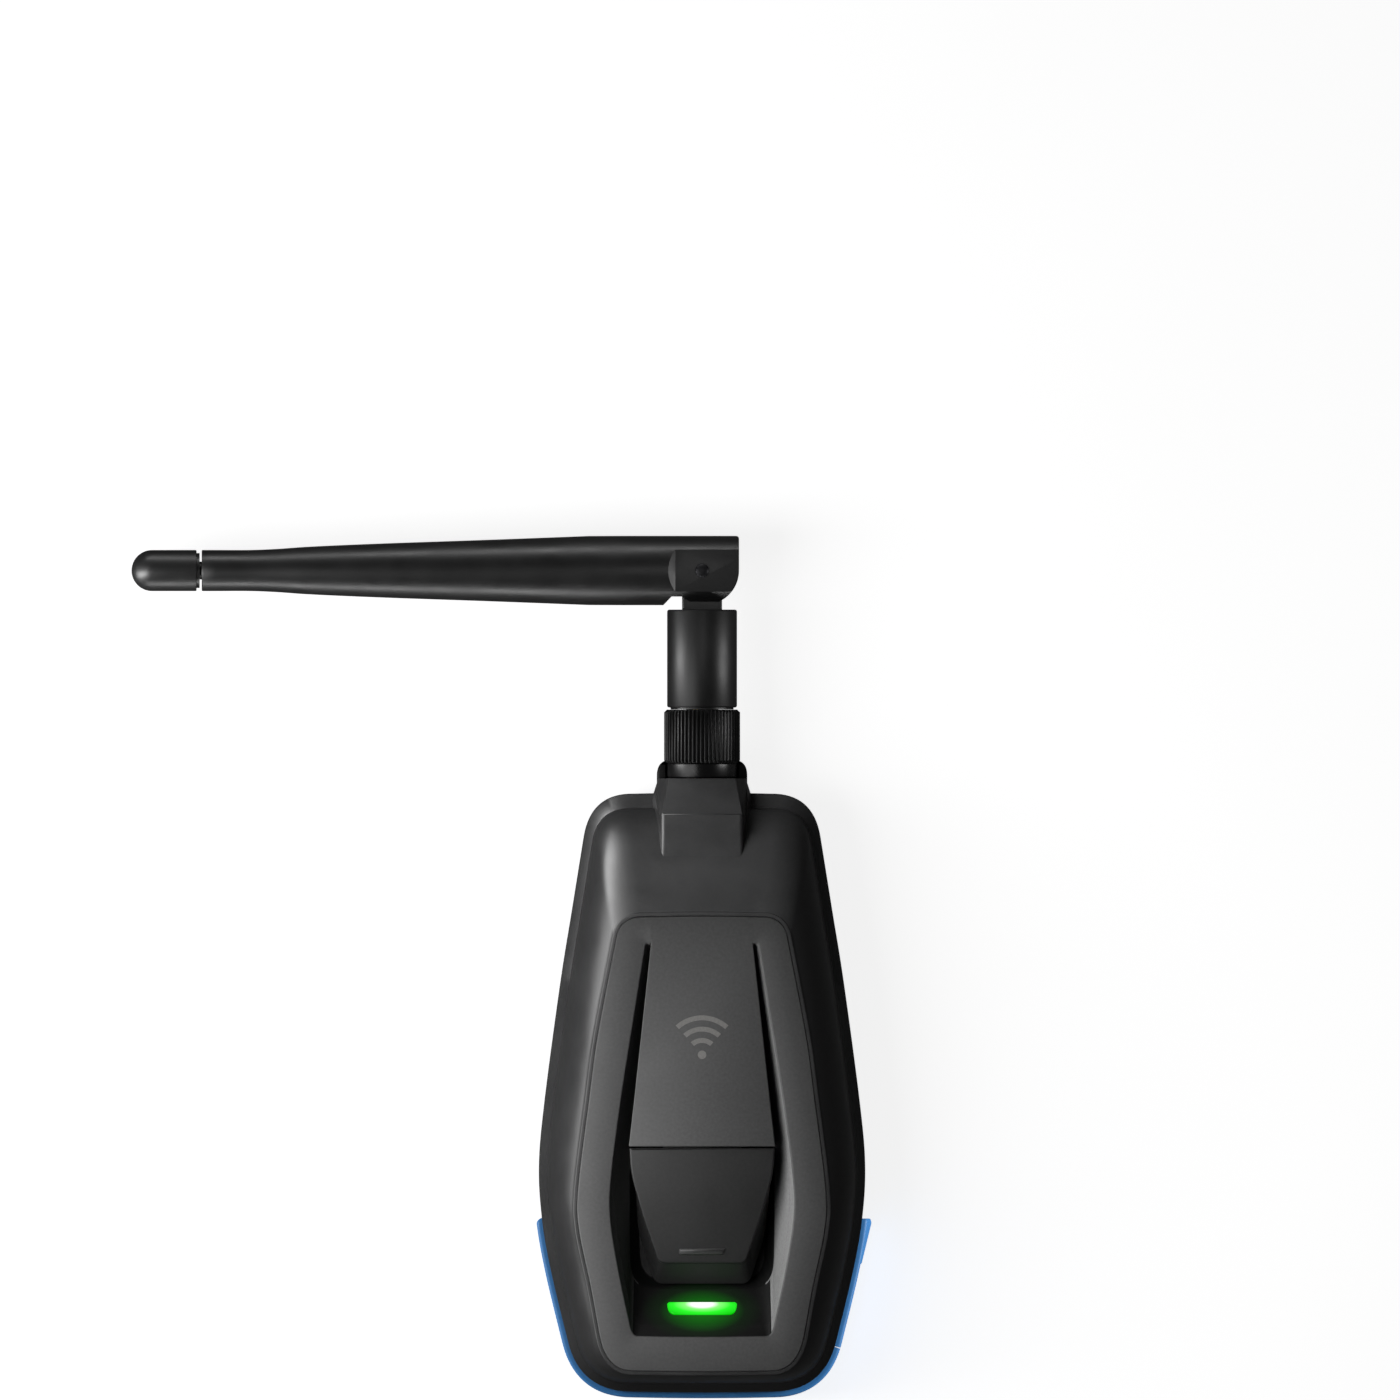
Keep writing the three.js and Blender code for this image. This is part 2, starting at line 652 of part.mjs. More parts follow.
// The lead from the socket down to its plug on the board.
function pigtail() {
  const route = new THREE.CatmullRomCurve3([
    new THREE.Vector3(0, 37.3, AXIS_Z),
    new THREE.Vector3(0.8, 35, AXIS_Z - 0.4),
    new THREE.Vector3(4, 31.6, AXIS_Z - 1.6),
    new THREE.Vector3(6.3, 29, AXIS_Z - 2.6),
    new THREE.Vector3(6.5, 28, AXIS_Z - 4.1),
  ]);
  const section = new THREE.Shape().absarc(0, 0, 0.6, 0, 2 * Math.PI);
  const options = { steps: 14, curveSegments: 4, bevelEnabled: false, extrudePath: route };
  return solid(new THREE.ExtrudeGeometry(section, options));
}

add('main_board', mainBoard(), boardGreen);
add('shield_can', shieldCan(), steel);
add('radio_chip', chip(0, 13, 8, 8, 1.2), chipBlack);
add('memory_chip', chip(-8, -6, 5, 6, 1.1), chipBlack);
add('clock_crystal', chip(8, -4, 3.2, 5, 1.3), steel);
add('usb_shell', usbShell(), steel);
add('usb_contacts', usbContacts(), chipBlack);
add('switch_body', switchBody(), chipBlack);
add('switch_plunger', rod('z', 1.6, 9, 10.75, [0, SWITCH_Y, 0], SMALL_ROUND), darkButton);
add('led_chip', chip(0, (LIGHT.topY + LIGHT.bottomY) / 2, 1.6, 1.2, 0.9), ptfe);
add('coax_pigtail', pigtail(), cableBlack);
add('pigtail_plug', rod('z', 1.3, BOARD_TOP + SOLDER, 6.1, [6.5, 28, 0], SMALL_ROUND), brass);

// ---- Antenna socket, fixed in the casing ----

function socketBarrel() {
  const body = turned([
    [0, 37.8], [SOCKET_RADIUS, 37.8], [SOCKET_RADIUS, FLANGE.low], [FLANGE.radius, FLANGE.low],
    [FLANGE.radius, FLANGE.high], [SOCKET_RADIUS, FLANGE.high], [SOCKET_RADIUS, 50.9],
    [SOCKET_RADIUS - 0.3, 51.2], [0, 51.2],
  ]);
  return body
    .subtract(rod('y', 2.3, 44.5, 52))
    .subtract(rod('y', 1.9, 39.5, 45))
    .subtract(rod('y', 0.9, 37, 40, [0, 0, 0], SMALL_ROUND));
}

function socketInsulator() {
  return rod('y', 1.6, 39.8, 46.4).subtract(rod('y', 0.7, 39, 47, [0, 0, 0], SMALL_ROUND));
}

add('socket_barrel', socketBarrel(), brass, antenna);
add('socket_insulator', socketInsulator(), ptfe, antenna);
add('socket_pin', rod('y', 0.4, 38, 49.5, [0, 0, 0], SMALL_ROUND), brass, antenna);

// ---- Antenna plug, nut and knuckle ----

function plugBody() {
  const body = turned([
    [0, 47], [2, 47], [2, 51.5], [3, 51.5], [3, 52.6],
    [2.4, 52.6], [2.4, 61], [3.3, 61], [3.3, 62.4], [0, 62.4],
  ]);
  return body.subtract(rod('y', 1.25, 46, 63, [0, 0, 0], SMALL_ROUND));
}

function plugContact() {
  return rod('y', 0.95, 47.4, 58, [0, 0, 0], SMALL_ROUND)
    .subtract(rod('y', 0.65, 46, 52, [0, 0, 0], SMALL_ROUND));
}

// The nut: a plain skirt, a ridged grip with chamfered ends, and a lip that holds the plug's flange.
function couplingNut() {
  const points = [];
  for (let i = 0; i < NUT.ridges * 2; i += 1) {
    const angle = (i * Math.PI) / NUT.ridges;
    const radius = NUT.knurlRadius - (i % 2) * RIDGE_DEPTH;
    points.push([radius * Math.sin(angle), radius * Math.cos(angle)]);
  }
  const length = NUT.end - NUT.knurlStart;
  const ridges = new THREE.ExtrudeGeometry(polygon(points), { depth: length, bevelEnabled: false });
  const grip = solid(ridges.rotateX(Math.PI / 2).translate(0, NUT.end, 0));
  const chamfers = turned([
    [0, NUT.knurlStart], [5.25, NUT.knurlStart], [NUT.knurlRadius + 0.1, NUT.knurlStart + 0.35],
    [NUT.knurlRadius + 0.1, NUT.end - 0.35], [5.25, NUT.end], [0, NUT.end],
  ]);
  return grip
    .intersect(chamfers)
    .add(rod('y', NUT.skirtRadius, NUT.start, NUT.knurlStart + 0.5))
    .subtract(rod('y', NUT_BORE, NUT.start - 1, NUT_LIP_Y))
    .subtract(rod('y', PLUG_ROOM, NUT_LIP_Y - 1, NUT.end + 1));
}

// The sleeve turns on the plug, and its post carries the mast.
function knuckle() {
  const { start, end, radius } = SLEEVE;
  const sleeve = turned([
    [0, start], [radius - 0.3, start], [radius, start + 0.3],
    [radius, end - 0.2], [radius - 0.2, end], [0, end],
  ]);
  const shape = new THREE.Shape();
  shape.moveTo(-POST_HALF, end - 1);
  shape.lineTo(POST_HALF, end - 1);
  shape.lineTo(POST_HALF, PIVOT_Y);
  shape.absarc(0, PIVOT_Y, POST_HALF, 0, Math.PI);
  shape.closePath();
  return sleeve
    .add(prism(shape, -POST_THICKNESS / 2, POST_THICKNESS / 2, 10))
    .subtract(rod('z', PIN_RADIUS + GAP, -5, 5, [0, PIVOT_Y, 0], SMALL_ROUND))
    .subtract(rod('y', PLUG_ROOM, start - 1, 61))
    .subtract(rod('y', 3.7, 60.7, 62.7));
}

add('plug_body', plugBody(), brass, antenna);
add('plug_contact', plugContact(), brass, antenna);
add('coupling_nut', couplingNut(), nutBlack, antenna);
add('knuckle', knuckle(), antennaBlack, antenna);

// ---- Mast, folded towards -X, with the pivot at its own origin ----

// A turned piece that lies along -X: pairs of radius and distance from the pivot.
function turnedMast(profile) {
  const points = profile.map(([radius, distance]) => new THREE.Vector2(radius, distance));
  return solid(new THREE.LatheGeometry(points, ROUND).rotateZ(Math.PI / 2));
}

// The fork from above: a round disc over the post, which clears the sleeve, and a square far corner.
function forkPlan() {
  const { root, forkEnd, sheathEnd } = MAST;
  const round = 5;
  const notchX = -4.45;
  const notchY = -3.8;
  const cornerX = -5.65;
  const shape = new THREE.Shape();
  shape.moveTo(-sheathEnd - 1, -root - 1);
  shape.lineTo(cornerX, -root - 1);
  shape.lineTo(cornerX, -root);
  shape.lineTo(notchX, notchY);
  shape.absarc(forkEnd - round, 0, round, -Math.PI - Math.asin(notchY / round), 0);
  shape.lineTo(forkEnd, root - 0.5);
  shape.quadraticCurveTo(forkEnd, root, forkEnd - 0.5, root);
  shape.lineTo(forkEnd - 0.5, root + 1);
  shape.lineTo(-sheathEnd - 1, root + 1);
  shape.closePath();
  return shape;
}

function mastSheath() {
  const { root, forkEnd, sheathEnd, tipRadius } = MAST;
  const body = turnedMast([
    [0, -forkEnd], [root, -forkEnd], [root, 16.6], [4.48, 31.4], [3.94, 46.9], [3.5, 57], [3.15, 62],
    [tipRadius, 66], [tipRadius, sheathEnd], [0, sheathEnd],
  ]);
  const flats = joined(
    block(-FLAT_START, forkEnd + 1, -6, 6, CHEEK_HALF, 6),
    block(-FLAT_START, forkEnd + 1, -6, 6, -6, -CHEEK_HALF),
  );
  return body
    .intersect(prism(forkPlan(), -6, 6, 8))
    .subtract(flats)
    .subtract(block(-3.4, forkEnd + 1, -6, 3.4, -FORK_SLOT, FORK_SLOT))
    .subtract(rod('z', PIN_RADIUS + GAP, -6, 6, [0, 0, 0], SMALL_ROUND))
    .subtract(rod('x', 1.6, -sheathEnd - 1, -8, [0, 0, 0], SMALL_ROUND));
}

function tipCap() {
  const { sheathEnd, grooveEnd, tip, tipRadius } = MAST;
  const neck = 2.55;
  const dome = [1, 2, 3, 4, 5].map((i) => {
    const angle = (i * Math.PI) / 10;
    return [tipRadius * Math.cos(angle), tip - tipRadius + tipRadius * Math.sin(angle)];
  });
  dome[dome.length - 1][0] = 0;
  return turnedMast([
    [0, 70], [1.3, 70], [1.3, sheathEnd + GAP], [neck, sheathEnd + GAP],
    [neck, grooveEnd], [tipRadius, grooveEnd], [tipRadius, tip - tipRadius], ...dome,
  ]);
}

function hingePin() {
  const end = CHEEK_HALF + 0.15;
  const profile = [
    [0, -end], [PIN_RADIUS, -end], [PIN_RADIUS, end], [PIN_RADIUS * 0.7, end + 0.25], [0, end + 0.35],
  ];
  const points = profile.map(([radius, height]) => new THREE.Vector2(radius, height));
  return solid(new THREE.LatheGeometry(points, SMALL_ROUND).rotateX(Math.PI / 2));
}

// The wide lower part of the radiator, round its rod.
function radiatorTube() {
  return rod('x', 1.25, -38, -12, [0, 0, 0], SMALL_ROUND)
    .subtract(rod('x', 0.85, -39, -11, [0, 0, 0], SMALL_ROUND));
}

add('mast_sheath', mastSheath(), antennaBlack, mast);
add('tip_cap', tipCap(), antennaBlack, mast);
add('hinge_pin', hingePin(), blackSteel, mast);
add('radiator_rod', rod('x', 0.5, -68, -12, [0, 0, 0], SMALL_ROUND), copper, mast);
add('radiator_tube', radiatorTube(), brass, mast);

export default adapter;
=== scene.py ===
"""The finished looks of a USB Wi-Fi adapter: fine casing, button, light, bumper and folding antenna."""

import math

import bmesh
import bpy
from mathutils import Matrix, Vector


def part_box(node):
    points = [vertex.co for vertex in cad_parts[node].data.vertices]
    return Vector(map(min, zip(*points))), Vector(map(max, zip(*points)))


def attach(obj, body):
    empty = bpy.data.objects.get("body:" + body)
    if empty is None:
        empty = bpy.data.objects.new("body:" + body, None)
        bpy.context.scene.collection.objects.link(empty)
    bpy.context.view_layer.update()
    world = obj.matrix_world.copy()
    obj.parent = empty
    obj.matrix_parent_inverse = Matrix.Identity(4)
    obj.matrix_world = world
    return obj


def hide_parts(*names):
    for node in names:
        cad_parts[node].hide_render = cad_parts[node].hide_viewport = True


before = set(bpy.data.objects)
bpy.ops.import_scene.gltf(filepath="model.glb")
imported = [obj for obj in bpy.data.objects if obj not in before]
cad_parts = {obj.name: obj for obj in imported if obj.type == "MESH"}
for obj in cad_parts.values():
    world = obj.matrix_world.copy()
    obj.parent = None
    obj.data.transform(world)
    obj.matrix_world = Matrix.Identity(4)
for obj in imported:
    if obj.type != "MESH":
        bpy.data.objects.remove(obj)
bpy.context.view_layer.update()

MM = 0.001  # shapes are worked out in millimetres, and scaled when they are placed


# ---- Sizes read from the frame, in millimetres ----

def low(node):
    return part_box(node)[0] / MM


def high(node):
    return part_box(node)[1] / MM


def middle(node):
    return (low(node) + high(node)) / 2


PART_Z = low("top_shell").z + 2.5  # parting line; the CAD shell's posts hang 2.5 below it
AXIS_Z = middle("coupling_nut").z
ANTENNA_AXIS = (0, 0, AXIS_Z), (0, 1, 0)  # a point on it and its direction
FACE_Z = high("face_frame").z - 0.03  # the printed mark stays under the CAD face
HALF_WIDTH = high("top_shell").x
RIM_Z = PART_Z + 1.8  # top of the ledge round the casing
HOOD_Z = PART_Z + 8.4
HOOD_END = high("top_shell").y
COLLAR_END = high("back_cover").y
TRAY_WALL = 1.2
WELL_FOOT_Z = 15.2  # where the well's flared walls end
WELL_FLOOR_Z = low("well_tray").z + TRAY_WALL
STRIP_LOW, STRIP_HIGH = low("bumper_strip").z, high("bumper_strip").z
STRIP_PROUD, STRIP_SUNK = 0.85, 0.6  # how far the band stands outside the casing's side, and inside it
STRIP_TOP_Y = high("bumper_strip").y
DOOR_TOP_Y = high("port_door").y
SEAM_Y = low("port_door").y - 0.15  # middle of the seam between the strip and the door
SEAM_HALF = 0.03
PIVOT = middle("hinge_pin")
MAST_TIP = PIVOT.x - low("tip_cap").x
SHEATH_END = PIVOT.x - low("mast_sheath").x
FORK_END = high("mast_sheath").x - PIVOT.x
NUT_START, NUT_END = low("coupling_nut").y, high("coupling_nut").y
KNURL_RADIUS = high("coupling_nut").z - AXIS_Z
SKIRT_RADIUS = KNURL_RADIUS - 0.5
SLEEVE_START = low("knuckle").y
SLEEVE_END = SLEEVE_START + 14.3
SLEEVE_RADIUS = high("knuckle").z - AXIS_Z

# Plan outlines, right half, as in the CAD: ends, half widths at the ends, and points on the side
SILHOUETTE = dict(
    top=43.65, top_half=10, bottom=-43.9, bottom_half=10,
    side=[(17.3, 37.2), (19, 26.6), (20.7, 16), (23, -1.2), (HALF_WIDTH, -10.6), (23.4, -18.4), (22.1, -26),
          (19.6, -36.4)],
)
PLATEAU = dict(
    top=25.7, top_half=8.5, bottom=-40.9, bottom_half=10,
    side=[(12.5, 22.6), (15.2, 8.5), (16.5, -1), (18.1, -14), (18, -20), (16.3, -28.3), (15, -35.4)],
)
WELL = dict(
    top=21.75, top_half=7.8, bottom=-35.8, bottom_half=9.2,
    side=[(8.3, 21.2), (10, 10.5), (11.8, -1), (13.2, -12), (13.4, -18), (12.3, -25.5), (10.5, -34.1)],
)
WELL_FOOT = dict(
    top=20.6, top_half=6, bottom=-28.8, bottom_half=6.8,
    side=[(6.5, 20.1), (8.1, 10.5), (9.7, -1), (10.5, -10), (10.6, -16), (10.6, -20), (10.5, -24.6)],
)
END_CROWN = 0.12  # how far the ends of an outline bow outwards
SIDE_STEPS, CORNER_STEPS, END_STEPS = 72, 16, 8


# ---- Outlines and rings ----

def catmull_rom(points, steps):
    """A smooth curve through the points, cut into equal steps of its parameter."""
    points = [Vector(p) for p in points]
    last = len(points) - 1
    made = []
    for step in range(steps + 1):
        at = last * step / steps
        i = min(int(at), last - 1)
        t = at - i
        before, start, end, after = (points[min(max(i + k, 0), last)] for k in (-1, 0, 1, 2))
        made.append(
            (2 * t**3 - 3 * t**2 + 1) * start + (t**3 - 2 * t**2 + t) * (end - before) / 2
            + (3 * t**2 - 2 * t**3) * end + (t**3 - t**2) * (after - start) / 2
        )
    return made


def bezier(start, control, end, steps):
    """Points after the start on a quadratic curve."""
    start, control, end = Vector(start), Vector(control), Vector(end)
    return [
        (1 - t) ** 2 * start + 2 * t * (1 - t) * control + t**2 * end
        for t in (step / steps for step in range(1, steps + 1))
    ]


def corner_on(y, end, before):
    """Where the side, carried on past its end, meets the level of the end edge."""
    slope = (end[0] - before[0]) / (end[1] - before[1])
    return (end[0] + slope * (y - end[1]), y)


def outline(top, top_half, bottom, bottom_half, side):
    """The closed outline of a casing part, anticlockwise from above."""
    right = [Vector((0, top))]
    top_end, bottom_end = (top_half, top - END_CROWN), (bottom_half, bottom + END_CROWN)
    right += bezier((0, top), (top_half / 2, top), top_end, END_STEPS)
    right += bezier(top_end, corner_on(top, side[0], side[1]), side[0], CORNER_STEPS)
    right += catmull_rom(side, SIDE_STEPS)[1:]
    right += bezier(side[-1], corner_on(bottom, side[-1], side[-2]), bottom_end, CORNER_STEPS)
    right += bezier(bottom_end, (bottom_half / 2, bottom), (0, bottom), END_STEPS)
    left = [Vector((-p.x, p.y)) for p in right[1:-1]]
    return right[::-1] + left


def outward(points, i):
    before, after = points[i - 1], points[(i + 1) % len(points)]
    return Vector((after.y - before.y, before.x - after.x)).normalized()


def inset(points, distance, end_distance=None):
    """The outline moved inwards, with its own distance at the antenna end. Negative moves it outwards."""
    end_distance = distance if end_distance is None else end_distance
    moved = []
    for i, point in enumerate(points):
        way = outward(points, i)
        moved.append(point - way * (distance + (end_distance - distance) * max(0, way.y)))
    return moved


def shrunk(points, distance):
    """The outline scaled down about its middle, until each end has moved in by a distance."""
    xs, ys = [p.x for p in points], [p.y for p in points]
    centre = Vector(((max(xs) + min(xs)) / 2, (max(ys) + min(ys)) / 2))
    across, along = 1 - 2 * distance / (max(xs) - min(xs)), 1 - 2 * distance / (max(ys) - min(ys))
    return [
        Vector((centre.x + (p.x - centre.x) * across, centre.y + (p.y - centre.y) * along))
        for p in points
    ]


def between(first, second, share):
    return [a.lerp(b, share) for a, b in zip(first, second)]


def ring(points, z):
    return [(p.x, p.y, z) for p in points]


def both_sides(right):
    """A closed plan from its right half; what follows x stays with its corner."""
    return right + [(-x, *rest) for x, *rest in right[::-1]]


def rounded_corners(corners, steps=5):
    """A closed plan with rounded corners: each corner is (x, y, radius of its rounding)."""
    made = []
    for i, (x, y, radius) in enumerate(corners):
        here = Vector((x, y))
        before, after = Vector(corners[i - 1][:2]), Vector(corners[(i + 1) % len(corners)][:2])
        start = here + (before - here).normalized() * radius
        end = here + (after - here).normalized() * radius
        made += [start] + bezier(start, here, end, steps)
    return made


def arc(x, y, radius, first, last, steps):
    """Points on a circle, from one angle to another."""
    angles = (first + (last - first) * step / steps for step in range(steps + 1))
    return [(x + radius * math.cos(a), y + radius * math.sin(a)) for a in angles]


def quarter(steps):
    """(inward share, upward share) along a quarter round, from its foot to its top."""
    angles = [math.pi / 2 * step / steps for step in range(steps + 1)]
    return [(1 - math.cos(a), math.sin(a)) for a in angles]


# ---- Meshes ----

SHARP = 32  # degrees above which an edge stays sharp


def mesh_object(name, corners, faces, sharp=SHARP):
    """A mesh from corners in millimetres, with outward faces and smooth shading between sharp edges."""
    mesh = bpy.data.meshes.new(name)
    mesh.from_pydata(corners, [], faces)
    piece = bpy.data.objects.new(name, mesh)
    bpy.context.scene.collection.objects.link(piece)
    tidy(piece, sharp)
    return piece


def tidy(piece, sharp=SHARP):
    """Merges doubled corners, turns the faces outward and marks the sharp edges."""
    work = bmesh.new()
    work.from_mesh(piece.data)
    bmesh.ops.remove_doubles(work, verts=work.verts, dist=1e-4)
    bmesh.ops.recalc_face_normals(work, faces=work.faces)
    work.to_mesh(piece.data)
    work.free()
    piece.data.shade_smooth()
    piece.data.set_sharp_from_angle(angle=math.radians(sharp))


def loft(name, rings, joined_ends=False, sharp=SHARP):
    """A closed skin through rings of equal count, capped at both ends or joined end to end."""
    count = len(rings[0])
    corners = [corner for one in rings for corner in one]
    faces = []
    for level in range(len(rings) if joined_ends else len(rings) - 1):
        above = (level + 1) % len(rings)
        for i in range(count):
            j = (i + 1) % count
            faces.append((level * count + i, level * count + j, above * count + j, above * count + i))
    if not joined_ends:
        faces.append(range(count)[::-1])
        faces.append(range(len(corners) - count, len(corners)))
    return mesh_object(name, corners, faces, sharp)


def turned(name, profile, origin, along, sides=96, joined_ends=False, sharp=SHARP, ripple=None):
    """A turned piece: (radius, distance) pairs about an axis. Ripple changes the radius round the piece."""
    turn = Vector((0, 0, 1)).rotation_difference(Vector(along)).to_matrix()
    rings = []
    for radius, distance in profile:
        one = []
        for i in range(sides):
            angle = 2 * math.pi * i / sides
            reach = radius - (ripple(i, radius, distance) if ripple else 0)
            spot = Vector((reach * math.cos(angle), reach * math.sin(angle), distance))
            one.append(Vector(origin) + turn @ spot)
        rings.append(one)
    return loft(name, rings, joined_ends, sharp)


def prism(name, plan, z0, z1):
    return loft(name, [[(x, y, z) for x, y in plan] for z in (z0, z1)])


def block(name, start, end):
    (x0, y0, z0), (x1, y1, z1) = start, end
    return prism(name, [(x0, y0), (x1, y0), (x1, y1), (x0, y1)], z0, z1)


def apply_modifiers(piece):
    bpy.context.view_layer.update()
    evaluated = piece.evaluated_get(bpy.context.evaluated_depsgraph_get())
    finished = bpy.data.meshes.new_from_object(evaluated)
    piece.modifiers.clear()
    piece.data = finished


def boolean(piece, cutter, operation):
    """Joins or cuts with another mesh, which is used up."""
    change = piece.modifiers.new(operation.lower(), "BOOLEAN")
    change.operation = operation
    change.solver = "EXACT"
    change.object = cutter
    apply_modifiers(piece)
    bpy.data.objects.remove(cutter)
    tidy(piece)
    return piece


def cut(piece, *cutters):
    for cutter in cutters:
        boolean(piece, cutter, "DIFFERENCE")
    return piece


def fuse(piece, *others):
    for other in others:
        boolean(piece, other, "UNION")
    return piece


def rounded(piece, width, segments=3, angle=30):
    """Rounds the sharp edges of a plain-faced mesh."""
    change = piece.modifiers.new("rounding", "BEVEL")
    change.width = width
    change.segments = segments
    change.limit_method = "ANGLE"
    change.angle_limit = math.radians(angle)
    apply_modifiers(piece)
    tidy(piece, 60)
    return piece


def coat(piece, material):
    piece.data.materials.clear()
    piece.data.materials.append(material)


def place(piece, body, material, slot, *replaced):
    """Scales a piece to metres, and gives it a finish, a body and the CAD nodes that it replaces. The slot
    is not used.
    """
    piece.data.transform(Matrix.Scale(MM, 4))
    coat(piece, material)
    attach(piece, body)
    if replaced:
        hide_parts(*replaced)
    return piece


# ---- Materials ----

class Nodes:
    """A material's node tree, with short calls to add and link nodes."""

    def __init__(self, name):
        self.material = bpy.data.materials.new(name)
        self.material.use_nodes = True
        self.tree = self.material.node_tree
        self.shader = self.tree.nodes["Principled BSDF"]
        self.where = self.add("ShaderNodeTexCoord").outputs["Object"]

    def add(self, kind, **values):
        node = self.tree.nodes.new(kind)
        for key, value in values.items():
            if key in node.inputs:
                node.inputs[key].default_value = value
            else:
                setattr(node, key, value)
        return node

    def link(self, source, target):
        self.tree.links.new(source, target)

    def feed(self, socket, source):
        """Links another node's output to a socket of the shader."""
        self.link(source, self.shader.inputs[socket])

    def fix(self, socket, value):
        """Gives a socket of the shader a constant."""
        self.shader.inputs[socket].default_value = value

    def noise(self, size, detail=3, stretch=None):
        """Noise with features of a size in millimetres."""
        source = self.where
        if stretch:
            mapping = self.add("ShaderNodeMapping")
            mapping.inputs["Scale"].default_value = stretch
            self.link(source, mapping.inputs["Vector"])
            source = mapping.outputs["Vector"]
        node = self.add("ShaderNodeTexNoise", Scale=1 / (size * MM), Detail=detail)
        self.link(source, node.inputs["Vector"])
        return node.outputs["Fac"]

    def ramp(self, value, stops):
        node = self.add("ShaderNodeValToRGB")
        elements = node.color_ramp.elements
        while len(elements) < len(stops):
            elements.new(0.5)
        for element, (position, colour) in zip(elements, stops):
            element.position = position
            element.color = (*colour, 1)
        self.link(value, node.inputs["Fac"])
        return node.outputs["Color"]

    def bump(self, height, strength, depth):
        """A bump with a depth in millimetres."""
        node = self.add("ShaderNodeBump", Strength=strength, Distance=depth * MM)
        self.link(height, node.inputs["Height"])
        self.feed("Normal", node.outputs["Normal"])


def moulded_nodes(name, colour, rough, grain=0.28, depth=0.012, variation=0.12, specular=0.3):
    """Spark-eroded plastic: a fine grain, with a faint cloudiness in colour and gloss."""
    nodes = Nodes(name)
    darker = [c * (1 - variation) for c in colour]
    lighter = [c * (1 + variation) for c in colour]
    nodes.feed("Base Color", nodes.ramp(nodes.noise(grain * 1.6, 4), [(0.3, darker), (0.7, lighter)]))
    gloss = nodes.ramp(nodes.noise(5, 3), [(0.3, (rough - 0.04,) * 3), (0.7, (rough + 0.05,) * 3)])
    nodes.feed("Roughness", gloss)
    nodes.fix("Specular IOR Level", specular)
    nodes.bump(nodes.noise(grain, 5), 0.5, depth)
    return nodes


def moulded_plastic(name, colour, rough, **grain):
    return moulded_nodes(name, colour, rough, **grain).material


def metal(name, colour, rough):
    """Metal with fine drawn marks along one direction."""
    nodes = Nodes(name)
    darker = [c * 0.85 for c in colour]
    marks = nodes.noise(0.4, 5, (1, 1, 12))
    nodes.feed("Base Color", nodes.ramp(marks, [(0.3, darker), (0.7, colour)]))
    gloss = nodes.ramp(marks, [(0.3, (rough * 0.8,) * 3), (0.7, (rough * 1.2,) * 3)])
    nodes.feed("Roughness", gloss)
    nodes.fix("Metallic", 1)
    nodes.bump(marks, 0.2, 0.004)
    return nodes.material


def falloff(nodes, centre, reach):
    """1 at a point, falling to 0 at a reach in millimetres along each axis."""
    mapping = nodes.add("ShaderNodeMapping", vector_type="TEXTURE")
    mapping.inputs["Location"].default_value = Vector(centre) * MM
    mapping.inputs["Scale"].default_value = Vector(reach) * MM
    nodes.link(nodes.where, mapping.inputs["Vector"])
    gradient = nodes.add("ShaderNodeTexGradient", gradient_type="SPHERICAL")
    nodes.link(mapping.outputs["Vector"], gradient.inputs["Vector"])
    return gradient.outputs["Fac"]


def lit_bar():
    """The lit light pipe: white-hot at the middle of its far edge, green towards its ends."""
    nodes = Nodes("light_green")
    bar_high = high("light_pipe")
    heat = falloff(nodes, (0, bar_high.y - 0.2, middle("light_pipe").z + 2), (bar_high.x * 1.3, 1.9, 30))
    dim, green, pale, white = (0, 0.5, 0), (0.02, 0.85, 0.02), (0.25, 1, 0.2), (1, 1, 1)
    colour = nodes.ramp(heat, [(0, dim), (0.35, green), (0.6, pale), (0.75, white)])
    nodes.feed("Emission Color", colour)
    nodes.fix("Emission Strength", 1.1)
    body = nodes.ramp(nodes.noise(1.5), [(0.3, (0.02, 0.3, 0.02)), (0.7, (0.03, 0.4, 0.03))])
    nodes.feed("Base Color", body)
    nodes.fix("Roughness", 0.3)
    return nodes.material


def wall_round_light():
    """Black plastic with painted light: the green glow that the bar spills on the wall round it, painted on
    as emission.
    """
    nodes = moulded_nodes("well_black", (0.004,) * 3, 0.5, specular=0.12)
    # Painted light: green emission that falls off with distance from the light bar.
    near = falloff(nodes, (0, middle("light_pipe").y - 0.5, 17.5), (9, 5.2, 8))
    spill = nodes.ramp(near, [(0, (0, 0, 0)), (0.3, (0, 0.008, 0)), (1, (0.001, 0.18, 0.0005))])
    nodes.feed("Emission Color", spill)
    nodes.fix("Emission Strength", 1)
    return nodes.material


shell_black = moulded_plastic("shell_black", (0.01, 0.01, 0.0102), 0.37, specular=0.42)
frame_grey = moulded_plastic("frame_grey", (0.036,) * 3, 0.5)
well_black = wall_round_light()
# A paler copy of the walls' grey, used as painted light on the well's right wall.
painted_lit_wall = moulded_plastic("painted_lit_wall", (0.14,) * 3, 0.5, specular=0.2)
button_dark = moulded_plastic("button_dark", (0.0135,) * 3, 0.45)
rubber_blue = moulded_plastic(
    "rubber_blue", (0.035, 0.17, 0.42), 0.45, grain=0.5, depth=0.004, variation=0.05, specular=0.4,
)
dash_grey = moulded_plastic("dash_grey", (0.035,) * 3, 0.45)
antenna_black = moulded_plastic(
    "antenna_black", (0.0055, 0.0055, 0.0056), 0.4, grain=0.3, depth=0.014, specular=0.5,
)
nut_black = moulded_plastic("nut_black", (0.004, 0.004, 0.0041), 0.3, grain=0.06, depth=0.004, specular=0.5)
mark_grey = moulded_plastic("mark_grey", (0.1, 0.098, 0.094), 0.5, grain=0.2, depth=0.003)
board_green = moulded_plastic(
    "board_green", (0.02, 0.16, 0.07), 0.35, grain=0.8, depth=0.01, variation=0.2, specular=0.5,
)
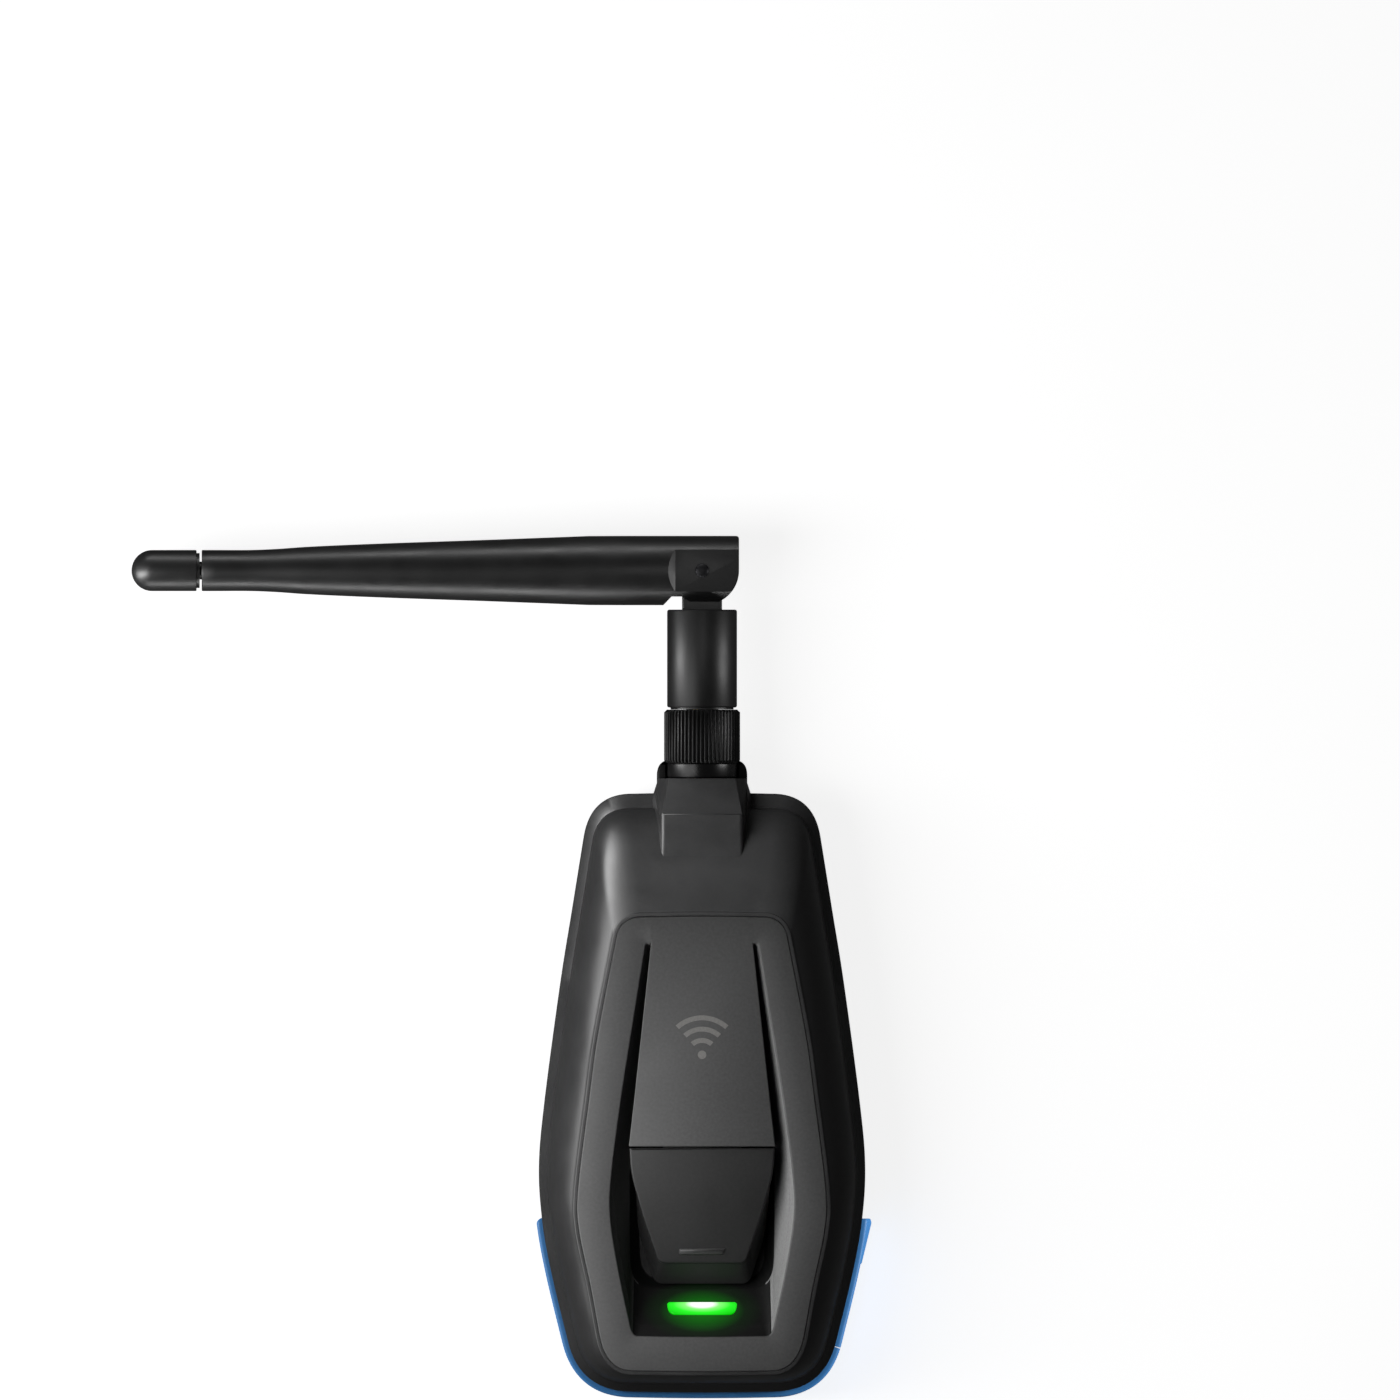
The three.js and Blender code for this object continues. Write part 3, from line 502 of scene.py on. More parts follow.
chip_black = moulded_plastic("chip_black", (0.02, 0.02, 0.022), 0.5)
ptfe_white = moulded_plastic(
    "ptfe_white", (0.8, 0.79, 0.75), 0.4, grain=0.4, depth=0.003, variation=0.02, specular=0.5,
)
cable_black = moulded_plastic("cable_black", (0.012,) * 3, 0.4)
light_green = lit_bar()
steel = metal("steel", (0.62, 0.63, 0.65), 0.3)
steel_black = metal("steel_black", (0.03, 0.03, 0.032), 0.5)
brass = metal("brass", (0.78, 0.56, 0.24), 0.22)
copper = metal("copper", (0.75, 0.4, 0.25), 0.3)


# ---- Casing, top half ----

silhouette = outline(**SILHOUETTE)
plateau = outline(**PLATEAU)
well = outline(**WELL)
well_foot = outline(**WELL_FOOT)

LEDGE, END_LEDGE = 1.3, 2.2  # width of the ledge round the flank, at the sides and the antenna end
LIP = 0.6  # how far the shell's top edge stands outside the face frame
FLANK_ARC = math.radians(60)
SHELL_WALL, PART_WALL = 1.9, 2.6  # wall of the flank, and of both shells where they part
LIP_Z = FACE_Z - 0.2
SEAT_Z = FACE_Z - 1.8  # the frame sits here, in the shell


def flank(thickness, steps=30):
    """Rings over the curved flank, from the ledge to the lip, a thickness inside the outer face."""
    foot = inset(silhouette, LEDGE + thickness, END_LEDGE + thickness)
    head = inset(plateau, thickness - LIP)
    made = []
    for step in range(steps + 1):
        angle = FLANK_ARC * step / steps
        across = (1 - math.cos(angle)) / (1 - math.cos(FLANK_ARC))
        up = math.sin(angle) / math.sin(FLANK_ARC)
        made.append(ring(between(foot, head, across), RIM_Z + (LIP_Z - RIM_Z) * up - thickness))
    return made


def edge_rings(points, z, radius, steps=5):
    """Rings round a convex edge, from its side at z - radius to its level face at z."""
    return [
        ring(inset(points, radius * inward), z - radius * (1 - upward))
        for inward, upward in quarter(steps)
    ]


def casing_skin():
    outer = [ring(inset(silhouette, 0.12), PART_Z), ring(silhouette, PART_Z + 0.12)]
    outer += [ring(inset(silhouette, 0.02), PART_Z + 0.4), ring(inset(silhouette, 0.12), PART_Z + 0.6)]
    outer += [ring(inset(silhouette, LEDGE - 0.1, END_LEDGE - 0.1), RIM_Z - 0.05)]
    outer += flank(0)[1:]
    outer += edge_rings(inset(plateau, -LIP + 0.02), LIP_Z + 0.12, 0.12, 4)[1:]
    seat = [
        ring(inset(plateau, -0.04), LIP_Z + 0.12),
        ring(inset(plateau, -0.02), LIP_Z + 0.08),
        ring(inset(plateau, -0.02), SEAT_Z),
        ring(inset(plateau, 2.2), SEAT_Z),
    ]
    inner = [one for one in flank(SHELL_WALL, 10)[::-1] if one[0][2] > PART_Z + 0.3]
    inner.append(ring(inset(silhouette, PART_WALL), PART_Z))
    return loft("casing_top", outer + seat + inner, joined_ends=True)


HOOD_FOOT, HOOD_TOP = 7.4, 6.0  # half widths
HOOD_START, HOOD_TAPER_Y = 30, 42.6
HOOD_CREASE_Y, HOOD_CREASE_DEPTH = 40.5, 0.07
HOOD_LIP_Z = PART_Z + 5.4
HOOD_ROUND = 0.6
# At the crease and past the nose: (y, x and z of the chamfer's upper edge, x and z of its lower edge)
HOOD_CHAMFER = [(40.3, 5.9, 18.9, 6.3, 16.5), (46.5, 4.7, 15.5, 6.6, 11.7)]
CLEAR_X, CLEAR_Z = 9, 20  # past the hood's side and over its top, for what cuts it


def hood_section(y):
    """The hood cut across: drafted sides under a level top with rounded edges, narrower towards its end."""
    narrowing = max(0, y - HOOD_TAPER_Y) / (HOOD_END - HOOD_TAPER_Y)
    top_half = HOOD_TOP - 0.55 * narrowing
    foot, top = Vector((HOOD_FOOT - narrowing, PART_Z + 0.2)), Vector((top_half, HOOD_Z))
    start = top - (top - foot).normalized() * HOOD_ROUND
    right = [foot, start] + bezier(start, top, (top_half - HOOD_ROUND, HOOD_Z), 10)
    return [(x, y, z) for x, z in both_sides(right)]


def hood_chamfer(side):
    """What the hood loses beside its slope, so that the slope narrows towards the socket."""
    rings = []
    for y, x_high, z_high, x_low, z_low in HOOD_CHAMFER:
        past = [(x_high, CLEAR_Z), (CLEAR_X, CLEAR_Z), (CLEAR_X, z_low)]
        section = [(x_high, z_high), *past, (x_low, z_low)]
        rings.append([(side * x, y, z) for x, z in section[::side]])
    return loft("hood_chamfer", rings)


def hood_slope():
    """What the hood loses over its slope, from the crease down past the nose."""
    run, fall = HOOD_END - HOOD_CREASE_Y, HOOD_Z - HOOD_LIP_Z
    far_y, far_z = HOOD_END + run, HOOD_LIP_Z - fall
    wedge = [(-CLEAR_X, HOOD_CREASE_Y, HOOD_Z), (CLEAR_X, HOOD_CREASE_Y, HOOD_Z)]
    wedge += [(CLEAR_X, far_y, far_z), (-CLEAR_X, far_y, far_z)]
    return loft("hood_slope", [wedge, [(x, y, HOOD_Z + 5) for x, y, z in wedge]])


def hood():
    sections = (HOOD_START, 34, 38, 41, HOOD_TAPER_Y, 43.1, 43.7, 44.4, 45.1, HOOD_END)
    body = loft("hood", [hood_section(y) for y in sections])
    cut(body, hood_slope(), hood_chamfer(-1), hood_chamfer(1))
    rounded(body, 0.28, 4, 24)
    y, deep = HOOD_CREASE_Y, HOOD_CREASE_DEPTH
    crease = block("crease", (-CLEAR_X, y - deep, HOOD_Z - deep), (CLEAR_X, y + deep, HOOD_Z + 1))
    return cut(body, crease)


# (radius, y) round the socket's flange behind the end wall, and round its barrel in the wall
SOCKET_ROOM = [(4.8, 38), (4.8, 43.4), (3.4, 43.4)]


def socket_room():
    return turned("socket_room", SOCKET_ROOM + [(3.4, HOOD_END + 1)], *ANTENNA_AXIS, 64)


casing_top = fuse(casing_skin(), hood())
cut(casing_top, socket_room())
place(casing_top, "housing", shell_black, "shell_black", "top_shell")


# ---- Face frame, tongue and printed mark ----

FRAME_UNDER = FACE_Z - 1.5
FRAME_EDGE, WELL_EDGE = 0.2, 0.22  # roundings
WELL_ROUND = [(0, 0), (0.38, 0.08), (0.71, 0.29), (0.92, 0.62), (1, 1)]  # (share inwards, share down)
TONGUE = [(10.7, -8), (9.9, -1), (7.35, 22.6)]  # right side


def flare(z, outside=0):
    """The flared wall of the well at a height."""
    share = (FACE_Z - z) / (FACE_Z - WELL_FOOT_Z)
    return ring(inset(between(well, well_foot, share), -outside), z)


def face_frame():
    outer = [ring(inset(plateau, 0.03), FRAME_UNDER), ring(plateau, FACE_Z - 0.3)]
    outer += edge_rings(plateau, FACE_Z, FRAME_EDGE)
    opening = [
        ring(inset(well, 0.02 - WELL_EDGE * (1 - inward)), FACE_Z - WELL_EDGE * downward)
        for inward, downward in WELL_ROUND
    ]
    opening.append(flare(FRAME_UNDER))
    return loft("face_frame_plate", outer + opening, joined_ends=True)


def tongue():
    return rounded(prism("tongue", both_sides(TONGUE), FRAME_UNDER, FACE_Z), 0.16, 4)


frame_plate = fuse(face_frame(), tongue())
place(frame_plate, "housing", frame_grey, "frame_grey", "face_frame")


MARK_Y, MARK_DOT, MARK_RADII, MARK_WIDTH, MARK_SPREAD = 5.4, 0.62, (2.1, 3.75, 5.4), 0.72, 42
MARK_LOW, MARK_HIGH = FACE_Z - 0.05, FACE_Z + 0.015


def mark_arc(radius):
    """A flat arc that opens towards the antenna."""
    first, last = math.radians(90 - MARK_SPREAD), math.radians(90 + MARK_SPREAD)
    outside = arc(0, MARK_Y, radius + MARK_WIDTH / 2, first, last, 28)
    inside = arc(0, MARK_Y, radius - MARK_WIDTH / 2, last, first, 28)
    return prism("mark_arc", outside + inside, MARK_LOW, MARK_HIGH)


def signal_mark():
    """A generic signal sign: a dot with three arcs over it."""
    dot = arc(0, MARK_Y, MARK_DOT, 0, 2 * math.pi, 40)[:-1]
    mark = prism("signal_mark", dot, MARK_LOW, MARK_HIGH)
    return fuse(mark, *[mark_arc(radius) for radius in MARK_RADII])


place(signal_mark(), "housing", mark_grey, "frame_grey")


# ---- Well tray ----

def finish_walls(piece):
    """The well's walls, with painted light and shade: pale on the right, where they face the key light,
    darker on the left, which is in shade, and black at the end that holds the light.
    """
    right, left, end = (len(piece.data.materials) + i for i in range(3))
    for material in (painted_lit_wall, frame_grey, well_black):
        piece.data.materials.append(material)
    for face in piece.data.polygons:
        in_wall = (WELL_FOOT_Z - 0.2) * MM < face.center.z < (FACE_Z - 0.25) * MM
        if not in_wall or not 0.1 < face.normal.z < 0.95:
            continue
        in_end_wall = face.center.y < (WELL_FOOT["bottom"] + 0.8) * MM and face.normal.y > 0.4
        in_pocket = face.center.z < WELL_FOOT_Z * MM
        if in_end_wall or in_pocket:
            face.material_index = end
        else:
            # Painted light and shade: walls facing left take the pale copy, walls facing right the darker
            # grey.
            face.material_index = left if face.normal.x > 0 else right


def tray():
    pocket = shrunk(well_foot, 1.3)
    outer = [
        ring(inset(pocket, -TRAY_WALL), WELL_FLOOR_Z - TRAY_WALL),
        flare(WELL_FOOT_Z - 0.4, TRAY_WALL),
        flare(SEAT_Z + 0.2, TRAY_WALL),
    ]
    crease = [flare(WELL_FOOT_Z + 0.15), ring(inset(well_foot, 0.03), WELL_FOOT_Z)]
    crease += [ring(between(well_foot, pocket, 0.12), WELL_FOOT_Z - 0.28)]
    floor = [ring(between(well_foot, pocket, 0.88), WELL_FLOOR_Z + 0.32), ring(pocket, WELL_FLOOR_Z + 0.1)]
    floor += [ring(inset(pocket, 0.15), WELL_FLOOR_Z)]
    return loft("well_tray_skin", outer + [flare(FRAME_UNDER - 0.02)] + crease + floor, sharp=24)


BUTTON_PIN_Y, BUTTON_PIN_Z = middle("button_pin").y, middle("button_pin").z
SWITCH_Y = middle("switch_plunger").y


def pin_lug(x, half_thickness=0.8, reach=2):
    return rounded(block(
        "lug",
        (x - half_thickness, BUTTON_PIN_Y - reach, WELL_FLOOR_Z - 0.5),
        (x + half_thickness, BUTTON_PIN_Y + reach, BUTTON_PIN_Z + reach),
    ), 0.2)


def pin_room(name):
    """The hole for the button's pin."""
    return turned(name, [(0.9, -9), (0.9, 9)], (0, BUTTON_PIN_Y, BUTTON_PIN_Z), (1, 0, 0), 32)


def over_switch(name, half_x, half_y, z0, z1):
    return block(name, (-half_x, SWITCH_Y - half_y, z0), (half_x, SWITCH_Y + half_y, z1))


tray_body = tray()
fuse(tray_body, pin_lug(-6.9), pin_lug(6.9))
cut(tray_body, pin_room("pin_room"))
cut(tray_body, over_switch("stem_room", 2.3, 2.5, WELL_FLOOR_Z - 3, WELL_FLOOR_Z + 1))


# ---- Light bar in the sloping end wall ----

LIGHT_LOW, LIGHT_HIGH, LIGHT_HALF = low("light_pipe").y, high("light_pipe").y, high("light_pipe").x


def end_wall_z(y):
    """Height of the sloping end wall of the well on its centre line."""
    share = (WELL["bottom"] - y) / (WELL["bottom"] - WELL_FOOT["bottom"])
    return FACE_Z - share * (FACE_Z - WELL_FOOT_Z)


def light_plan(margin):
    """The bar from above: a straight far edge and rounded near corners."""
    half, top, bottom = LIGHT_HALF + margin, LIGHT_HIGH + margin, LIGHT_LOW - margin
    right = bezier((half, top - 0.2), (half, bottom), (half - 1.2, bottom), 10)[::-1]
    right += [Vector((half, top - 0.2)), Vector((half - 0.2, top))]
    return [Vector(p) for p in both_sides(right)]


def light_bar():
    levels = [(-0.1, -2.2), (0, -0.12), (0.03, 0.02), (0.1, 0.1), (0.22, 0.15)]
    rings = [
        [(p.x, p.y, end_wall_z(p.y) + rise) for p in inset(light_plan(0), inward)]
        for inward, rise in levels
    ]
    return loft("light_bar", rings, sharp=50)


cut(tray_body, prism("light_slot", light_plan(0.08), WELL_FLOOR_Z - 3, FACE_Z))
place(tray_body, "housing", well_black, "well_black", "well_tray")
for piece in (tray_body, frame_plate):
    finish_walls(piece)
place(light_bar(), "housing", light_green, "light_green", "light_pipe")


# ---- Button ----

BUTTON_TOP_Y = TONGUE[0][1] - 0.22
BUTTON_NOSE_Y, BUTTON_NOSE_Z = -25.1, 17.4
BUTTON_BASE_Z = 14.6
BUTTON_EDGE = 0.3  # rounding of the face's edge


def face_z(y):
    """Height of the button's sloping face."""
    return FACE_Z - (BUTTON_TOP_Y - y) * (FACE_Z - BUTTON_NOSE_Z) / (BUTTON_TOP_Y - BUTTON_NOSE_Y)


def button():
    """A sloping face over a base that reaches further towards the light bar."""
    face_side = [(6.3, BUTTON_NOSE_Y, 0.9), (8.6, -18.4, 2), (10.45, -11.8, 2), (10.6, BUTTON_TOP_Y, 0.15)]
    base_side = [(6.9, -28, 1.2), (9.4, -20, 2), (9.8, -12.5, 2), (9.8, BUTTON_TOP_Y, 0.15)]
    face, base = (rounded_corners(both_sides(right)) for right in (face_side, base_side))
    rings = [ring(inset(base, 0.1), BUTTON_BASE_Z), ring(base, BUTTON_BASE_Z + 0.1)]
    for inward, upward in quarter(5):
        edge = inset(face, BUTTON_EDGE * inward)
        rings.append([(p.x, p.y, face_z(p.y) - BUTTON_EDGE * (1 - upward)) for p in edge])
    return loft("button_paddle_skin", rings, sharp=26)


def button_dash():
    """The raised dash on the face, with one slanted end."""
    near, far = -23.75, -22.95
    plan = rounded_corners([(-3.3, near, 0.25), (3.0, near, 0.25), (3.35, far, 0.2), (-3.3, far, 0.25)])
    rings = [[(p.x, p.y, face_z(p.y) + rise) for p in inset(plan, inward)]
             for inward, rise in [(-0.08, -0.4), (-0.08, 0), (0, 0.08), (0.02, 0.2), (0.08, 0.26)]]
    return loft("button_dash", rings, sharp=50)


paddle = button()
tail = block(
    "tail",
    (-5.7, BUTTON_TOP_Y - 1, BUTTON_PIN_Z - 1.8),
    (5.7, BUTTON_PIN_Y + 1.9, BUTTON_PIN_Z + 1.8),
)
stem = over_switch("stem", 1.5, 1.5, low("button_paddle").z, BUTTON_BASE_Z + 1)
fuse(paddle, rounded(tail, 0.2), rounded(stem, 0.2))
cut(paddle, pin_room("pin_hole"))
place(paddle, "button", button_dark, "button_dark", "button_paddle")
place(button_dash(), "button", dash_grey, "button_dark")


# ---- Casing, back half ----

COVER_TOP = high("back_cover").z
SCREWS = ["casing_screw_%d" % (i + 1) for i in range(4)]
SCREW_PLACES = [middle(node) for node in SCREWS]


def cover_skin():
    """A flat back with a wide round edge, and upright sides."""
    outer = [ring(inset(silhouette, 3 - 2.5 * out), 3.2 * up) for up, out in quarter(10)]
    outer += [ring(inset(silhouette, 0.15), 6.5), ring(silhouette, COVER_TOP - 0.15)]
    outer += [ring(inset(silhouette, 0.12), COVER_TOP)]
    inner = [
        ring(inset(silhouette, PART_WALL), COVER_TOP),
        ring(inset(silhouette, PART_WALL), 4),
        ring(inset(silhouette, 3.8), 2),
    ]
    return loft("casing_back", outer + inner)


def collar():
    """The lower half of the collar round the nut, with rounded corners at its end."""
    half, foot = 6.6, 7.3
    right = [Vector((foot, 36)), Vector((foot, 43))]
    right += bezier((foot, 43), (half, 43.8), (half, 45), 6)
    right += [Vector((half, 46.2))] + bezier((half, 46.2), (half, COLLAR_END), (half - 2.2, COLLAR_END), 10)
    return rounded(prism("collar", both_sides(right), 2.9, COVER_TOP), 0.35, 4)


def nut_room():
    """Room for the socket and the nut, along the antenna's axis."""
    skirt, grip, step_y = 5.4, KNURL_RADIUS + 0.3, NUT_START + 1.7
    profile = SOCKET_ROOM + [(3.4, HOOD_END), (skirt, HOOD_END), (skirt, step_y)]
    profile += [(grip, step_y), (grip, 50)]
    return turned("nut_room", profile, *ANTENNA_AXIS, 96)


right_side = silhouette[:len(silhouette) // 2 + 1]  # from the middle of the near end up to the antenna end
left_side = [Vector((-p.x, p.y)) for p in right_side[::-1]]


def at_y(side, y):
    for a, b in zip(side, side[1:]):
        if (a.y - y) * (b.y - y) <= 0 and a.y != b.y:
            return a.lerp(b, (y - a.y) / (b.y - a.y))


def side_stretch(low_y, high_y):
    """The right side from one place along Y to another."""
    inner = [p for p in right_side if low_y < p.y < high_y]
    return [at_y(right_side, low_y)] + inner + [at_y(right_side, high_y)]


def near_end_line(left_y, right_y):
    """The outline from a place on the left side, round the near end, to one on the right side."""
    left = [at_y(left_side, left_y)] + [p for p in left_side if p.y < left_y]
    return left + [p for p in right_side[1:] if p.y < right_y] + [at_y(right_side, right_y)]


SWEEP_STEP = 0.7


def swept(name, line, section, start_round=0.01, end_round=0.01):
    """A section, in (distance outwards, height), carried along an open line; its ends can taper roundly."""
    lengths = [0]
    for a, b in zip(line, line[1:]):
        lengths.append(lengths[-1] + (b - a).length)
    total = lengths[-1]
    curve = [share for share, _ in quarter(8)]
    count = int(total / SWEEP_STEP)
    plain = total - start_round - end_round
    stations = [start_round * share for share in curve]
    stations += [start_round + plain * step / count for step in range(1, count)]
    stations += [total - end_round * share for share in curve[::-1]]
    rings = []
    for distance in stations:
        i = max(j for j in range(len(line) - 1) if lengths[j] <= distance + 1e-9)
        point = line[i].lerp(line[i + 1], (distance - lengths[i]) / (lengths[i + 1] - lengths[i]))
        ahead, behind = line[min(i + 2, len(line) - 1)], line[max(i - 1, 0)]
        way = Vector((ahead.y - behind.y, behind.x - ahead.x)).normalized()
        left = min(1, distance / start_round, (total - distance) / end_round)
        share = math.sqrt(max(0, 1 - (1 - left) ** 2))
        rings.append([(point.x + way.x * out, point.y + way.y * out, z) for out, z in section(share)])
    return loft(name, rings, sharp=40)


def band_section(low_z, high_z, outside, inside, radius):
    """The cross-section of a band with rounded outer edges, drawn in by a share at a tapered end."""
    def section(share):
        share = max(share, 0.35)
        reach = -inside + (outside + inside) * share
        turn, drop = radius * share, (1 - share) * 0.6
        foot, top = low_z + drop, high_z - drop
        lower = bezier((reach - turn, foot), (reach, foot), (reach, foot + turn), 6)
        upper = bezier((reach, top - turn), (reach, top), (reach - turn, top), 6)
        return [(-inside, foot), (reach - turn, foot), *lower, (reach, top - turn), *upper, (-inside, top)]
    return section


def strip_recess():
    """Room for the bumper strip and the door, with a gap round them."""
    gap = 0.2
    section = band_section(STRIP_LOW - gap, STRIP_HIGH + gap, 3, STRIP_SUNK + 0.25, 0.2)
    return swept("strip_recess", near_end_line(STRIP_TOP_Y + gap, DOOR_TOP_Y + gap), section)


def screw_post(at):
    return turned("screw_post", [(2.6, 0.5), (2.6, 7.7)], (at.x, at.y, 0), (0, 0, 1), 40)


def screw_bore(at):
    """A screw's hole: a wide part for its head, with a broken edge, and a narrow one for its shank."""
    profile = [(2.35, -1), (2.35, 0), (2.25, 0.12), (2.25, 2.5), (1.2, 2.5), (1.2, 9)]
    return turned("screw_bore", profile, (at.x, at.y, 0), (0, 0, 1), 48)


PORT_LOW, PORT_HIGH = low("usb_shell"), high("usb_shell")


def label_panel():
    """A shallow blank panel in the back."""
    plan = rounded_corners([(-11, -24, 2), (11, -24, 2), (11, 20, 2), (-11, 20, 2)], 6)
    return prism("label_panel", plan, -1, 0.25)


def port_hole():
    return rounded(block(
        "port_hole",
        (17, PORT_LOW.y - 0.5, PORT_LOW.z - 0.4),
        (25, PORT_HIGH.y + 0.5, PORT_HIGH.z + 0.4),
    ), 0.4)


casing_back = fuse(cover_skin(), collar(), *[screw_post(at) for at in SCREW_PLACES])
cut(casing_back, nut_room(), strip_recess(), port_hole(), label_panel())
cut(casing_back, *[screw_bore(at) for at in SCREW_PLACES])
place(casing_back, "housing", shell_black, "shell_black", "back_cover")


# ---- Bumper strip and port door ----

strip_section = band_section(STRIP_LOW, STRIP_HIGH, STRIP_PROUD, STRIP_SUNK, 0.55)
bumper = swept("bumper", near_end_line(STRIP_TOP_Y, SEAM_Y - SEAM_HALF), strip_section, 0.9, 0.02)
place(bumper, "housing", rubber_blue, "rubber_blue", "bumper_strip")


def finger_tab():
    """The tab at the free end of the door, with a sloping outer facet to pull at."""
    wide = [(22.3, -25.5), (23.3, -25.1), (24.75, -19.1), (24.55, DOOR_TOP_Y), (22.8, DOOR_TOP_Y)]
    narrow = [(22.3, -24.9), (22.9, -24.5), (24.1, -19.3), (23.9, DOOR_TOP_Y), (22.8, DOOR_TOP_Y)]
    levels = [(narrow, 3.3), (wide, 4.6), (wide, 7.2), (narrow, 8.7)]
    tab = loft("finger_tab", [[(x, y, z) for x, y in plan] for plan, z in levels])
    return rounded(tab, 0.14, 3, 20)


def port_rib():
    """The plug on the door's inner face that fills the port's opening."""
    line = side_stretch(PORT_LOW.y + 0.1, PORT_HIGH.y - 0.1)
    section = band_section(PORT_LOW.z + 0.2, PORT_HIGH.z - 0.2, -0.3, 1.5, 0.2)
    return swept("port_rib", line, section, 0.2, 0.2)


door_line = side_stretch(SEAM_Y + SEAM_HALF, DOOR_TOP_Y)
door = swept("port_flap", door_line, strip_section, 0.02, 0.2)
fuse(door, finger_tab(), port_rib())
place(door, "port_door", rubber_blue, "rubber_blue", "port_door")


# ---- Casing screws ----

def casing_screw(node):
    """A screw with a cross in its head, which faces down."""
    at, foot, top = middle(node), low(node).z, high(node).z
    head_top = foot + 1.2
    profile = [(0.01, foot), (1.6, foot), (1.85, foot + 0.18), (1.85, head_top)]
    profile += [(0.85, head_top), (0.85, top - 0.4), (0.4, top)]
    screw = turned(node + "_finish", profile, (at.x, at.y, 0), (0, 0, 1), 40)
    for half_x, half_y in [(1.1, 0.22), (0.22, 1.1)]:
        start = (at.x - half_x, at.y - half_y, foot - 1)
        end = (at.x + half_x, at.y + half_y, foot + 0.7)
        cut(screw, block("slot", start, end))
    place(screw, "housing", steel_black, "steel_black", node)


for node in SCREWS:
    casing_screw(node)


# ---- Socket and nut ----

NUT_BORE, NUT_LIP_BORE, NUT_LIP_Y = 3.4, 2.75, 52.9
KNURL_START = NUT_START + 1.95
RIDGES, RIDGE_SIDES = 56, 8


def ridge_depth(i, radius, distance):
    """The grip's grooves: sharp-crested ridges, only where the nut is widest."""
    if radius <= SKIRT_RADIUS + 0.1:
        return 0
    phase = (i % RIDGE_SIDES) / RIDGE_SIDES
    return 0.34 * math.sin(math.pi * phase) ** 0.8


def coupling_nut():
    """A plain skirt, a ridged grip, and an inner lip that the antenna turns in."""
    grip_foot = SKIRT_RADIUS + 0.08
    skirt = [
        (NUT_BORE, NUT_START), (NUT_BORE + 0.12, NUT_START - 0.2),
        (SKIRT_RADIUS - 0.25, NUT_START - 0.2), (SKIRT_RADIUS - 0.07, NUT_START - 0.13),
        (SKIRT_RADIUS, NUT_START + 0.05), (SKIRT_RADIUS, KNURL_START - 0.2),
        (SKIRT_RADIUS - 0.1, KNURL_START - 0.05),
    ]
    grip = [
        (grip_foot, KNURL_START), (KNURL_RADIUS, KNURL_START + 0.4),
        (KNURL_RADIUS, NUT_END - 0.4), (grip_foot, NUT_END),
    ]
    lip = [
        (NUT_LIP_BORE + 0.12, NUT_END), (NUT_LIP_BORE, NUT_END - 0.12),
        (NUT_LIP_BORE, NUT_LIP_Y), (NUT_BORE, NUT_LIP_Y),
    ]
    profile, sides = skirt + grip + lip, RIDGES * RIDGE_SIDES
    return turned("coupling_nut_grip", profile, *ANTENNA_AXIS, sides, True, 28, ridge_depth)


place(coupling_nut(), "coupling_nut", nut_black, "nut_black", "coupling_nut")

THREAD_PITCH = 0.7056


def thread_depth(i, radius, distance, sides=64):
    """A helical groove along the barrel, in front of the flange."""
    if not 43.6 < distance < 50.8 or radius < 3:
        return 0
    return 0.34 * abs(((distance / THREAD_PITCH - i / sides) % 1) * 2 - 1)


def socket_barrel():
    back, end = low("socket_barrel").y, high("socket_barrel").y
    flange, wide = 4.5, 3.1
    profile = [(0.9, back), (wide, back), (wide, 40.3), (flange - 0.1, 40.3), (flange, 40.4)]
    profile += [(flange, 43), (wide, 43.1)]
    thread_start = 43.4
    run = end - 0.3 - thread_start
    steps = int(run / THREAD_PITCH * 6)
    profile += [(wide, thread_start + run * step / steps) for step in range(steps + 1)]
    profile += [(wide - 0.3, end), (2.3, end), (2.3, 44.5), (1.9, 44.5), (1.9, 39.5), (0.9, 39.5)]
    return turned("socket_thread", profile, *ANTENNA_AXIS, 64, True, 25, thread_depth)


place(socket_barrel(), "housing", brass, "brass", "socket_barrel")


# ---- Knuckle ----

POST_HALF, POST_THICKNESS = 2.925, 4.2
PIN_RADIUS = high("hinge_pin").x - PIVOT.x


def pin_hole(reach):
    """The hole for the hinge pin's shank."""
    shank = PIN_RADIUS - 0.2
    return turned("pin_hole", [(shank, -reach), (shank, reach)], PIVOT, (0, 0, 1), 48)


def knuckle():
    """The sleeve that turns on the plug, with the post between the mast's cheeks."""
    start, end, radius = SLEEVE_START, SLEEVE_END, SLEEVE_RADIUS
    neck = [(2.75, start - 0.28), (radius - 0.5, start - 0.28), (radius - 0.5, start)]
    bore = [(0, start + 6.6), (3.7, start + 6.6), (3.7, start + 4.6), (2.75, start + 4.6)]
    near_edge = [(radius - 0.28, start), (radius - 0.08, start + 0.08), (radius, start + 0.28)]
    far_edge = [(radius, end - 0.28), (radius - 0.08, end - 0.08), (radius - 0.28, end)]
    profile = bore + neck + near_edge + far_edge + [(0, end)]
    sleeve = turned("knuckle_sleeve", profile, *ANTENNA_AXIS, 128)
    plan = [(-POST_HALF, end - 1), (POST_HALF, end - 1)] + arc(0, PIVOT.y, POST_HALF, 0, math.pi, 32)
    post = rounded(prism("post", plan, AXIS_Z - POST_THICKNESS / 2, AXIS_Z + POST_THICKNESS / 2), 0.3, 4)
    fuse(sleeve, post)
    return cut(sleeve, pin_hole(5))


place(knuckle(), "antenna_base", antenna_black, "antenna_black", "knuckle")


# ---- Mast, folded towards -X ----

MAST_ROOT = 5.06
CHEEK_HALF, FORK_SLOT, FLAT_START = 4.2, 2.4, 3.9
